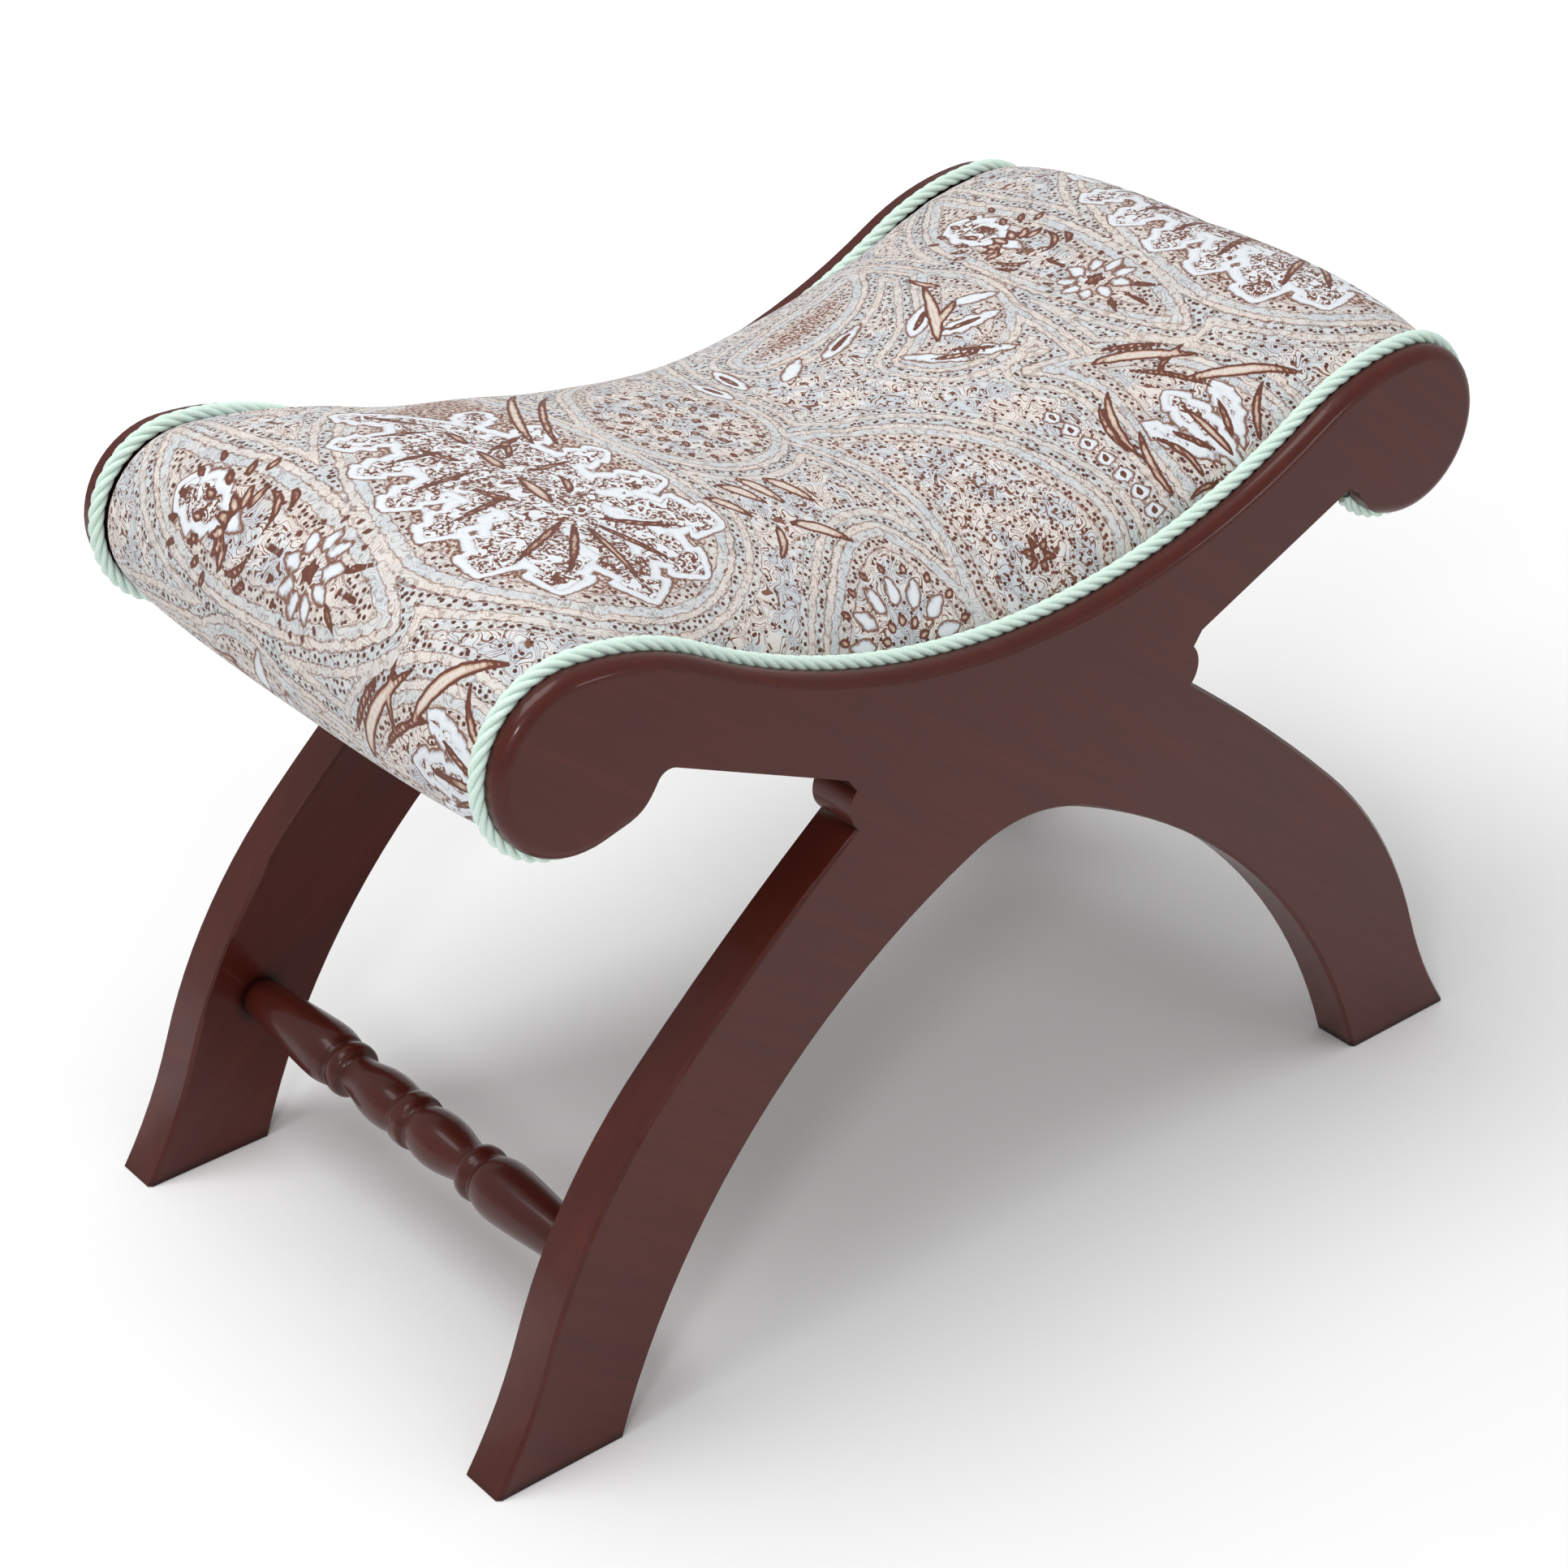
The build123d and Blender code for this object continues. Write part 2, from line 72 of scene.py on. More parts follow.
def add(tree, kind, settings=None, inputs=None, stops=()):
    """Adds a node with its settings, with values or other nodes' sockets for its inputs, and with a ramp's stops."""
    node = tree.nodes.new(kind)
    for key, value in (settings or {}).items():
        setattr(node, key, value)
    for key, value in (inputs or {}).items():
        if isinstance(value, bpy.types.NodeSocket):
            tree.links.new(value, node.inputs[key])
        else:
            node.inputs[key].default_value = value
    for index, (place, code) in enumerate(stops):
        points = node.color_ramp.elements
        point = points[index] if index < len(points) else points.new(place)
        point.position = place
        point.color = colour(code)
    return node


# The camera sees white paper behind the floor, the lacquer mirrors a part of it, and the room lights the stool
world = bpy.data.worlds.new("white_room")
world.use_nodes = True
scene.world = world
world.node_tree.nodes.clear()
rays = add(world.node_tree, "ShaderNodeLightPath")
seen = add(world.node_tree, "ShaderNodeMath", {"operation": "MULTIPLY_ADD"},
           {0: rays.outputs["Is Glossy Ray"], 1: 0.2, 2: rays.outputs["Is Camera Ray"]})
room = add(world.node_tree, "ShaderNodeBackground", {}, {"Color": (1, 1, 1, 1), "Strength": 0.52})
paper = add(world.node_tree, "ShaderNodeBackground", {}, {"Color": (1, 1, 1, 1), "Strength": 1.0})
either = add(world.node_tree, "ShaderNodeMixShader", {},
             {0: seen.outputs[0], 1: room.outputs[0], 2: paper.outputs[0]})
add(world.node_tree, "ShaderNodeOutputWorld", {}, {"Surface": either.outputs[0]})


def soft_box(name, place, aim, wide, power):
    """A square soft box that stands at a place and is turned to shine at a point."""
    lamp = bpy.data.lights.new(name, "AREA")
    lamp.size = wide
    lamp.energy = power
    stand = bpy.data.objects.new(name, lamp)
    away = (Vector(aim) - Vector(place)).to_track_quat("-Z", "Y").to_matrix().to_4x4()
    stand.matrix_world = Matrix.Translation(place) @ away
    scene.collection.objects.link(stand)


soft_box("overhead_light", (-0.65, 0.25, 2.4), (0.0, 0.0, 0.2), 1.7, 36.0)
soft_box("front_light", (-1.5, -1.25, 1.35), (0.0, 0.0, 0.25), 0.27, 7.0)
soft_box("low_light", (0.9, -1.9, 0.62), (0.0, 0.0, 0.3), 0.25, 1.6)

bpy.ops.object.select_all(action="DESELECT")
bpy.ops.mesh.primitive_plane_add(size=14.0, location=(0.0, 0.0, -0.0004))
floor = bpy.context.object
floor.name = "floor"
bpy.ops.object.transform_apply(location=True, rotation=True, scale=True)

# White seamless paper: matt, with no grain that shows at this distance, and a painted glow that grows further out
floor_paper = bpy.data.materials.new("white_floor_paper")
floor_paper.use_nodes = True
tree = floor_paper.node_tree
tree.nodes.clear()
matt = add(tree, "ShaderNodeBsdfDiffuse", {}, {"Color": colour("#fafafa")})
spot = add(tree, "ShaderNodeTexCoord")
from_middle = add(tree, "ShaderNodeVectorMath", {"operation": "LENGTH"}, {0: spot.outputs["Object"]})
far_off = add(tree, "ShaderNodeMapRange", {"interpolation_type": "SMOOTHSTEP"},
              {"Value": from_middle.outputs["Value"], "From Min": 0.3, "From Max": 1.6, "To Min": 0.0, "To Max": 0.5})
eye_ray = add(tree, "ShaderNodeLightPath")
painted_glow_strength = add(tree, "ShaderNodeMath", {"operation": "MULTIPLY"},
          {0: far_off.outputs[0], 1: eye_ray.outputs["Is Camera Ray"]})
painted_glow = add(tree, "ShaderNodeEmission", {}, {"Strength": painted_glow_strength.outputs[0]})
sweep = add(tree, "ShaderNodeAddShader", {}, {0: matt.outputs[0], 1: painted_glow.outputs[0]})
add(tree, "ShaderNodeOutputMaterial", {}, {"Surface": sweep.outputs[0]})
floor.data.materials.append(floor_paper)


# The two side frames: boards of a close-grained hardwood, sawn to an X with scrolled arms, lapped and glued where
# they cross, stained red-brown and finished with a clear gloss lacquer. The two members of each frame become one
# piece here, so that the light runs smoothly over the glued joint and the rounded edges.
def sawn_board(node, name, finish):
    """A CAD node's own mesh as a new object, with its loose triangles joined."""
    bpy.ops.object.select_all(action="DESELECT")
    piece = bpy.data.objects.new(name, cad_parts[node].data.copy())
    scene.collection.objects.link(piece)
    bpy.context.view_layer.objects.active = piece
    piece.select_set(True)
    bpy.ops.object.mode_set(mode="EDIT")
    bpy.ops.mesh.select_all(action="SELECT")
    bpy.ops.mesh.remove_doubles(threshold=0.00001)
    bpy.ops.mesh.normals_make_consistent(inside=False)
    bpy.ops.object.mode_set(mode="OBJECT")
    piece.data.materials.clear()
    piece.data.materials.append(finish)
    return piece


def lacquered_wood(name, grain_turn, shade):
    """Stained hardwood under clear lacquer: long soft streaks along the grain, fine pores, a gloss top coat."""
    # Streaks are 170 mm long and 9 to 17 mm wide, cloudy patches 110 mm. Pores are 25 mm long and 1 mm wide, which
    # is coarser than the real ones so that they show
    made = bpy.data.materials.new(name)
    made.use_nodes = True
    tree = made.node_tree
    tree.nodes.clear()
    spot = add(tree, "ShaderNodeTexCoord")
    along = add(tree, "ShaderNodeMapping", {}, {"Vector": spot.outputs["Object"], "Rotation": grain_turn})
    streak_place = add(tree, "ShaderNodeMapping", {}, {"Vector": along.outputs[0], "Scale": (6.0, 60.0, 110.0)})
    streaks = add(tree, "ShaderNodeTexNoise", {}, {"Vector": streak_place.outputs[0], "Scale": 1.0, "Detail": 4.0,
                                                   "Roughness": 0.6})
    pore_place = add(tree, "ShaderNodeMapping", {}, {"Vector": along.outputs[0], "Scale": (40.0, 900.0, 900.0)})
    pores = add(tree, "ShaderNodeTexNoise", {}, {"Vector": pore_place.outputs[0], "Scale": 1.0, "Detail": 2.0})
    cloudy = add(tree, "ShaderNodeTexNoise", {}, {"Vector": spot.outputs["Object"], "Scale": 9.0, "Detail": 2.0})
    both = add(tree, "ShaderNodeMix", {"data_type": "FLOAT"},
               {0: 0.35, 2: streaks.outputs["Fac"], 3: pores.outputs["Fac"]})
    soft = add(tree, "ShaderNodeMix", {"data_type": "FLOAT"}, {0: 0.3, 2: both.outputs[0], 3: cloudy.outputs["Fac"]})
    ramp = add(tree, "ShaderNodeValToRGB", {}, {"Fac": soft.outputs[0]},
               [(0.36, shade[0]), (0.5, shade[1]), (0.62, shade[2])])
    # Painted shade: within 6 mm of an inner corner, such as under the cord, the colour darkens and the gloss coat thins
    corner = add(tree, "ShaderNodeAmbientOcclusion", {"samples": 8}, {"Color": (1, 1, 1, 1), "Distance": 0.006})
    painted_shade = add(tree, "ShaderNodeMapRange", {}, {"Value": corner.outputs["AO"], "From Min": 0.5, "From Max": 0.97})
    stain_and_painted_shade = add(tree, "ShaderNodeMix", {"data_type": "RGBA"},
                  {0: painted_shade.outputs[0], 6: colour("#1d0503"), 7: ramp.outputs["Color"]})
    coat = add(tree, "ShaderNodeMath", {"operation": "MULTIPLY"}, {0: painted_shade.outputs[0], 1: 0.35})
    dents = add(tree, "ShaderNodeBump", {}, {"Strength": 0.08, "Distance": 0.0002, "Height": pores.outputs["Fac"]})
    gloss = add(tree, "ShaderNodeMapRange", {}, {"Value": cloudy.outputs["Fac"], "From Min": 0.3, "From Max": 0.7,
                                                 "To Min": 0.32, "To Max": 0.42})
    skin = add(tree, "ShaderNodeBsdfPrincipled", {}, {
        "Base Color": stain_and_painted_shade.outputs[2], "Roughness": gloss.outputs[0], "IOR": 1.3, "Coat Weight": coat.outputs[0],
        "Coat Roughness": 0.09, "Coat IOR": 1.4, "Normal": dents.outputs[0]})
    add(tree, "ShaderNodeOutputMaterial", {}, {"Surface": skin.outputs[0]})
    return made


stain = ("#43140d", "#49170e", "#521b11")
rising_wood = lacquered_wood("lacquered_hardwood_rising", (0.0, radians(38.0), 0.0), stain)
falling_wood = lacquered_wood("lacquered_hardwood_falling", (0.0, radians(-38.0), 0.0), stain)
for side in ("front", "back"):
    falling = sawn_board(f"{side}_leg_right_arm_left", "falling_member", falling_wood)
    board = sawn_board(f"{side}_leg_left_arm_right", f"{side}_frame_boards", rising_wood)
    glue = board.modifiers.new("glue", "BOOLEAN")
    glue.operation = "UNION"
    glue.object = falling
    glue.solver = "EXACT"
    glue.material_mode = "TRANSFER"
    bpy.ops.object.modifier_apply(modifier=glue.name)
    bpy.data.objects.remove(falling)
    bpy.ops.object.mode_set(mode="EDIT")
    bpy.ops.mesh.select_all(action="SELECT")
    bpy.ops.mesh.remove_doubles(threshold=0.00006)
    bpy.ops.mesh.dissolve_limited(angle_limit=radians(0.5), delimit={"NORMAL"})
    bpy.ops.object.mode_set(mode="OBJECT")
    bpy.ops.object.shade_smooth_by_angle(angle=radians(40.0))
    weights = board.modifiers.new("weights", "WEIGHTED_NORMAL")
    weights.keep_sharp = True
    bpy.ops.object.modifier_apply(modifier=weights.name)
    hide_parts(f"{side}_leg_left_arm_right", f"{side}_leg_right_arm_left")
    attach(board, "root")


# The two stretchers between the feet: the same wood, turned on a lathe to a middle ring, bulbs, waists and tapers,
# with a round tenon at each end that sits in a blind hole of the leg. The turning is given from the middle outwards,
# as millimetres along the axis and the radius there.
stretcher_wood = lacquered_wood(
    "lacquered_turned_hardwood", (0.0, 0.0, radians(90.0)), ("#3d140e", "#45170f", "#4f1c13"))
turning = (
    (0.0, 12.6), (2.0, 12.9), (4.2, 12.4), (4.9, 11.2), (6.2, 10.9), (7.6, 11.0), (9.5, 11.6), (14.0, 12.4),
    (20.0, 12.8), (27.0, 12.3), (34.0, 10.8), (40.0, 9.7), (44.0, 9.5), (45.2, 9.8), (46.0, 11.6), (47.6, 12.7),
    (50.0, 13.0), (52.4, 12.7), (54.0, 11.6), (54.8, 11.3), (56.6, 11.5), (57.4, 12.3), (59.5, 12.9), (63.0, 13.6),
    (67.0, 14.0), (74.0, 13.8), (86.0, 12.9), (104.0, 11.2), (118.0, 9.8), (126.0, 9.3),
)
tenon = ((126.0, 7.5), (140.0, 7.5), (140.0, 0.0))
axis_height = 0.077
outer_half = turning + tenon
profile = [(-place, radius) for place, radius in reversed(outer_half)] + list(outer_half[1:])
for from_middle, name in ((-0.218, "left"), (0.228, "right")):
    bpy.ops.object.select_all(action="DESELECT")
    bpy.ops.mesh.primitive_plane_add(size=0.001, location=(0.0, 0.0, 0.0))
    spindle = bpy.context.object
    spindle.name = f"stretcher_{name}_turned"
    bpy.ops.object.mode_set(mode="EDIT")
    bpy.ops.mesh.select_all(action="SELECT")
    bpy.ops.mesh.merge(type="CENTER")
    bpy.ops.transform.translate(value=(0.0, profile[0][0] / 1000, 0.0))
    for (reached, narrow), (place, radius) in zip(profile, profile[1:]):
        step = ((radius - narrow) / 1000, (place - reached) / 1000, 0.0)
        bpy.ops.mesh.extrude_region_move(TRANSFORM_OT_translate={"value": step})
    bpy.ops.mesh.select_all(action="SELECT")
    bpy.ops.mesh.spin(steps=48, angle=2 * pi, center=(0.0, 0.0, 0.0), axis=(0.0, 1.0, 0.0))
    bpy.ops.mesh.select_all(action="SELECT")
    bpy.ops.mesh.remove_doubles(threshold=0.00002)
    bpy.ops.mesh.normals_make_consistent(inside=False)
    bpy.ops.transform.translate(value=(from_middle, 0.0, axis_height))
    bpy.ops.object.mode_set(mode="OBJECT")
    bpy.ops.object.shade_smooth_by_angle(angle=radians(52.0))
    spindle.data.materials.append(stretcher_wood)
    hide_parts(f"stretcher_{name}")
    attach(spindle, "root")


# The wood under the seat: two bearers, nine cross slats, a round rail inside each roll and the dowels of the
# crossings. They are plain planed softwood that nobody sees once the seat is covered.
def planed_softwood(name, grain_turn):
    """Bare planed pine: pale growth rings 6 to 8 mm apart in streaks of 250 mm, a dry matt surface."""
    made = bpy.data.materials.new(name)
    made.use_nodes = True
    tree = made.node_tree
    tree.nodes.clear()
    spot = add(tree, "ShaderNodeTexCoord")
    along = add(tree, "ShaderNodeMapping", {}, {"Vector": spot.outputs["Object"], "Rotation": grain_turn,
                                                "Scale": (4.0, 120.0, 160.0)})
    rings = add(tree, "ShaderNodeTexNoise", {}, {"Vector": along.outputs[0], "Scale": 1.0, "Detail": 5.0})
    ramp = add(tree, "ShaderNodeValToRGB", {}, {"Fac": rings.outputs["Fac"]}, [(0.35, "#b98d5c"), (0.65, "#d9b988")])
    fibres = add(tree, "ShaderNodeBump", {}, {"Strength": 0.3, "Distance": 0.0004, "Height": rings.outputs["Fac"]})
    skin = add(tree, "ShaderNodeBsdfPrincipled", {}, {"Base Color": ramp.outputs["Color"], "Roughness": 0.7,
                                                      "Normal": fibres.outputs[0]})
    add(tree, "ShaderNodeOutputMaterial", {}, {"Surface": skin.outputs[0]})
    return made


lengthwise = planed_softwood("planed_softwood_bearers", (0.0, 0.0, 0.0))
crosswise = planed_softwood("planed_softwood_slats", (0.0, 0.0, radians(90.0)))
for name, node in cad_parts.items():
    if name.startswith("bearer_") and not name.endswith("screws"):
        node.material_slots[0].material = lengthwise
    elif name.startswith(("seat_slat_", "roll_rail_")) or name == "lap_dowels":
        node.material_slots[0].material = crosswise


# The fasteners under the seat: steel wood screws and short tacks, both zinc-plated. The plating is a pale grey metal
# with a dull bloom in spots of about 1 mm.
plated = bpy.data.materials.new("zinc_plated_steel")
plated.use_nodes = True
tree = plated.node_tree
tree.nodes.clear()
spot = add(tree, "ShaderNodeTexCoord")
bloom = add(tree, "ShaderNodeTexNoise", {}, {"Vector": spot.outputs["Object"], "Scale": 900.0, "Detail": 3.0})
dull = add(tree, "ShaderNodeMapRange", {}, {"Value": bloom.outputs["Fac"], "To Min": 0.25, "To Max": 0.55})
tone = add(tree, "ShaderNodeMix", {"data_type": "RGBA"},
           {0: bloom.outputs["Fac"], 6: colour("#a8a49a"), 7: colour("#c9c6bd")})
skin = add(tree, "ShaderNodeBsdfPrincipled", {}, {"Base Color": tone.outputs[2], "Metallic": 1.0,
                                                  "Roughness": dull.outputs[0]})
add(tree, "ShaderNodeOutputMaterial", {}, {"Surface": skin.outputs[0]})
for name in ("bearer_screws", "slat_screws", "dust_cloth_tacks"):
    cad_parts[name].material_slots[0].material = plated


# The line that everything on the seat follows: the frames' top edge, a saddle between two humps that run into the
# scrolls. Lengths here are millimetres along that edge, from the stool's middle outwards.
saddle_low = 301.5
scroll_top = 362.5
scroll_centre = 226.5
scroll_radius = 38.8
saddle_radius = 327.5
bend = 2 * atan2(scroll_top - saddle_low, scroll_centre)
hump_radius = scroll_centre / sin(bend) - saddle_radius
saddle_length = saddle_radius * bend
hump_length = hump_radius * bend


def top_edge(along, lift):
    """Points of the top edge at lengths along it from the middle, lifted square off it, in millimetres."""
    reach = np.abs(along)
    turn = np.minimum(reach, saddle_length) / saddle_radius
    x = (saddle_radius - lift) * np.sin(turn)
    z = saddle_low + saddle_radius - (saddle_radius - lift) * np.cos(turn)
    over = bend - np.clip(reach - saddle_length, 0, hump_length) / hump_radius
    on_hump = reach > saddle_length
    x = np.where(on_hump, scroll_centre - (hump_radius + lift) * np.sin(over), x)
    z = np.where(on_hump, scroll_top - hump_radius + (hump_radius + lift) * np.cos(over), z)
    round_it = (reach - saddle_length - hump_length) / scroll_radius
    on_scroll = round_it > 0
    x = np.where(on_scroll, scroll_centre + (scroll_radius + lift) * np.sin(round_it), x)
    z = np.where(on_scroll, scroll_top - scroll_radius + (scroll_radius + lift) * np.cos(round_it), z)
    return np.sign(along) * x, z


# The dust cloth: a thin black non-woven sheet stretched under the seat and tacked to the bearers, so that it sags
# a little between them and pulls in between its tacks.
dust_half_length = 181.5
dust_half_width = 117.6
under_edge = 33.6
tack_pitch = 62.5
bpy.ops.object.select_all(action="DESELECT")
bpy.ops.mesh.primitive_grid_add(x_subdivisions=140, y_subdivisions=60, size=2.0)
dust = bpy.context.object
dust.name = "dust_cloth_sheet"
flat = np.empty(len(dust.data.vertices) * 3)
dust.data.vertices.foreach_get("co", flat)
flat = flat.reshape(-1, 3)
along = flat[:, 0] * dust_half_length
out = np.abs(flat[:, 1])
pulled = 0.5 - 0.5 * np.cos(2 * pi * along / tack_pitch)
edge_pull = 1.2 * pulled * np.clip((out - 0.9) / 0.1, 0, 1)
sag = 1.6 * np.clip(1 - (out / 0.9) ** 2, 0, 1) + 0.35 * pulled * np.clip(1 - np.abs(out - 0.8) / 0.2, 0, 1)
x, z = top_edge(along, -under_edge - sag)
placed = np.column_stack((x, flat[:, 1] * (dust_half_width - edge_pull), z)) / 1000
dust.data.vertices.foreach_set("co", placed.ravel())
dust.data.update()
thick = dust.modifiers.new("thickness", "SOLIDIFY")
thick.thickness = 0.0004
thick.offset = 0.0
bpy.ops.object.modifier_apply(modifier=thick.name)
bpy.ops.object.shade_smooth()

# Black non-woven cambric: matt and a little fluffy, with a bonding dimple every millimetre and a half
cambric = bpy.data.materials.new("black_nonwoven_cambric")
cambric.use_nodes = True
tree = cambric.node_tree
tree.nodes.clear()
spot = add(tree, "ShaderNodeTexCoord")
dimples = add(tree, "ShaderNodeTexVoronoi", {}, {"Vector": spot.outputs["Object"], "Scale": 700.0})
fluff = add(tree, "ShaderNodeTexNoise", {}, {"Vector": spot.outputs["Object"], "Scale": 260.0, "Detail": 4.0})
tone = add(tree, "ShaderNodeMix", {"data_type": "RGBA"},
           {0: fluff.outputs["Fac"], 6: colour("#121212"), 7: colour("#242424")})
bonded = add(tree, "ShaderNodeBump", {}, {"Strength": 0.5, "Distance": 0.0003, "Height": dimples.outputs["Distance"]})
skin = add(tree, "ShaderNodeBsdfPrincipled", {}, {"Base Color": tone.outputs[2], "Roughness": 0.9,
                                                  "Sheen Weight": 0.2, "Normal": bonded.outputs[0]})
add(tree, "ShaderNodeOutputMaterial", {}, {"Surface": skin.outputs[0]})
dust.data.materials.append(cambric)
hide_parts("dust_cloth")
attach(dust, "root")


# The foam pad: cut foam laid on the slats, thick and square-edged in the saddle, thinner over the humps and a thin
# wrap round the rolls. It lies wholly inside the cover. The crown is its height over the frames' edge, given at
# lengths along that edge.
seat_end = saddle_length + hump_length + scroll_radius * radians(208.0)
crown_places = (0.0, 60.5, 123.0, 150.0, 177.0, 200.0, 217.0, 239.0, 262.0, 284.0, 300.0, 381.0)
crowns = (49.7, 51.3, 45.9, 37.0, 26.2, 20.5, 18.2, 18.0, 13.5, 5.8, 4.4, 4.0)


def seat_form(name, inset, pitch):
    """Closed form of the seat: crowned above, flat below, wrapped round both rolls. Its UV map is the flat cloth."""
    # The flat underside has half as many columns to its width as the crowned top
    rows = int(2 * seat_end / pitch)
    above = int(300 / pitch)
    below = int(134 / pitch)
    bpy.ops.object.select_all(action="DESELECT")
    bpy.ops.mesh.primitive_grid_add(x_subdivisions=rows, y_subdivisions=above + below, size=2.0, calc_uvs=True)
    form = bpy.context.object
    form.name = name
    flat = np.empty(len(form.data.vertices) * 3)
    form.data.vertices.foreach_get("co", flat)
    flat = flat.reshape(-1, 3)
    along = flat[:, 0] * (seat_end - inset)
    row = np.round((flat[:, 0] + 1) / 2 * rows).astype(int)
    column = np.round((flat[:, 1] + 1) / 2 * (above + below)).astype(int)
    base = -2.3 + 0.35 * inset
    half = 135.2 - 2.8 * inset
    side_fullness = 2.8
    crown_fullness = 1.6

    # The crown's steps are softened over 11 mm
    stops = np.linspace(-seat_end, seat_end, rows + 1)
    crown = np.interp(np.abs(stops), crown_places, crowns)
    smooth = np.exp(-0.5 * (np.arange(-30, 31) * 2 * seat_end / rows / 11.0) ** 2)
    crown = np.convolve(np.pad(crown, 30, mode="edge"), smooth / smooth.sum(), mode="valid") - inset

    # Each row across the seat is half a flattened oval above and a straight line below, with its points closer
    # together towards the sides
    swing = np.linspace(0, pi / 2, 400)
    across = np.zeros((rows + 1, above + below + 1))
    lifted = np.zeros_like(across)
    cloth = np.zeros_like(across)
    for i, peak in enumerate(crown):
        wide = half * np.sin(swing) ** (2 / side_fullness)
        high = base + (peak - base) * np.cos(swing) ** (2 / crown_fullness)
        run = np.concatenate(([0], np.cumsum(np.hypot(np.diff(wide), np.diff(high)))))
        even = np.linspace(-1, 1, above + 1)
        steps = run[-1] * (0.4 * even + 0.6 * np.sin(even * pi / 2))
        across[i, :above + 1] = np.sign(steps) * np.interp(np.abs(steps), run, wide)
        lifted[i, :above + 1] = np.interp(np.abs(steps), run, high)
        cloth[i, :above + 1] = steps
        across[i, above:] = np.linspace(half, -half, below + 1)
        lifted[i, above:] = base
        cloth[i, above:] = run[-1] + np.linspace(0, 2 * half, below + 1)
    x, z = top_edge(along, lifted[row, column])
    placed = np.column_stack((x, across[row, column], z)) / 1000
    form.data.vertices.foreach_set("co", placed.ravel())
    form.data.update()

    # The cloth lies flat in the UV map, in metres, and is tacked along both edges and both ends
    corners = np.empty(len(form.data.loops), dtype=int)
    form.data.loops.foreach_get("vertex_index", corners)
    woven = np.column_stack((along, cloth[row, column]))[corners] / 1000
    form.data.uv_layers[0].name = "cloth"
    form.data.uv_layers[0].data.foreach_set("uv", woven.ravel())
    pinned = form.vertex_groups.new(name="tacked")
    held = (column >= above - 1) | (column <= 1) | (row <= 1) | (row >= rows - 1)
    pinned.add([int(i) for i in np.nonzero(held)[0]], 1.0, "REPLACE")

    # The long seam closes by merging, and the two ends are filled
    bpy.ops.object.mode_set(mode="EDIT")
    bpy.ops.mesh.select_all(action="SELECT")
    bpy.ops.mesh.remove_doubles(threshold=0.00002)
    bpy.ops.mesh.select_all(action="DESELECT")
    bpy.ops.mesh.select_mode(type="EDGE")
    bpy.ops.mesh.select_non_manifold(extend=False)
    bpy.ops.mesh.fill_holes(sides=0)
    bpy.ops.mesh.select_mode(type="VERT")
    bpy.ops.mesh.select_all(action="SELECT")
    bpy.ops.mesh.normals_make_consistent(inside=False)
    bpy.ops.object.mode_set(mode="OBJECT")
    bpy.ops.object.shade_smooth()
    return form


foam = seat_form("seat_foam", 4.5, 7.0)

# Cut polyurethane foam: pale yellow and dry, pitted by open cells, drawn a millimetre across so that they show
cut_foam = bpy.data.materials.new("cut_polyurethane_foam")
cut_foam.use_nodes = True
tree = cut_foam.node_tree
tree.nodes.clear()
spot = add(tree, "ShaderNodeTexCoord")
cells = add(tree, "ShaderNodeTexVoronoi", {}, {"Vector": spot.outputs["Object"], "Scale": 900.0})
# The colour is darker towards the bottom of each pit, as painted shade
tone = add(tree, "ShaderNodeMix", {"data_type": "RGBA"},
           {0: cells.outputs["Distance"], 6: colour("#e4d9ad"), 7: colour("#f1e9c8")})
open_cells = add(tree, "ShaderNodeBump", {},
                 {"Strength": 0.6, "Distance": 0.0005, "Height": cells.outputs["Distance"]})
skin = add(tree, "ShaderNodeBsdfPrincipled", {}, {"Base Color": tone.outputs[2], "Roughness": 0.95,
                                                  "Normal": open_cells.outputs[0]})
add(tree, "ShaderNodeOutputMaterial", {}, {"Surface": skin.outputs[0]})
foam.data.materials.append(cut_foam)
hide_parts("seat_pad")
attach(foam, "root")


# The cover: a closely woven cotton printed with a paisley, pulled over the foam and round both rolls and tacked in
# the rebates. It is simulated as cloth that the foam swells, held along its tacked edges, and moves by 2 mm at most.
cover = seat_form("paisley_cover", 0.4, 3.4)
most_swell = 0.002
before = np.empty(len(cover.data.vertices) * 3)
cover.data.vertices.foreach_get("co", before)
swell = cover.modifiers.new("swell", "CLOTH")
swell.settings.quality = 6
swell.settings.mass = 0.3
swell.settings.tension_stiffness = 40.0
swell.settings.compression_stiffness = 40.0
swell.settings.shear_stiffness = 15.0
swell.settings.bending_stiffness = 1.0
swell.settings.use_pressure = True
swell.settings.uniform_pressure_force = 4.0
swell.settings.effector_weights.gravity = 0.0
swell.settings.vertex_group_mass = "tacked"
for step in range(1, 21):
    scene.frame_set(step)
bpy.context.view_layer.objects.active = cover
cover.select_set(True)
bpy.ops.object.modifier_apply(modifier=swell.name)
after = np.empty_like(before)
cover.data.vertices.foreach_get("co", after)
moved = (after - before).reshape(-1, 3)
far = np.linalg.norm(moved, axis=1)
moved *= np.minimum(1.0, most_swell / np.maximum(far, 1e-9))[:, None]
cover.data.vertices.foreach_set("co", (before.reshape(-1, 3) + moved).ravel())
cover.data.update()
scene.frame_set(1)
finer = cover.modifiers.new("finer", "SUBSURF")
finer.levels = 1
finer.render_levels = 1
finer.uv_smooth = "NONE"
bpy.context.view_layer.objects.active = cover
bpy.ops.object.modifier_apply(modifier=finer.name)

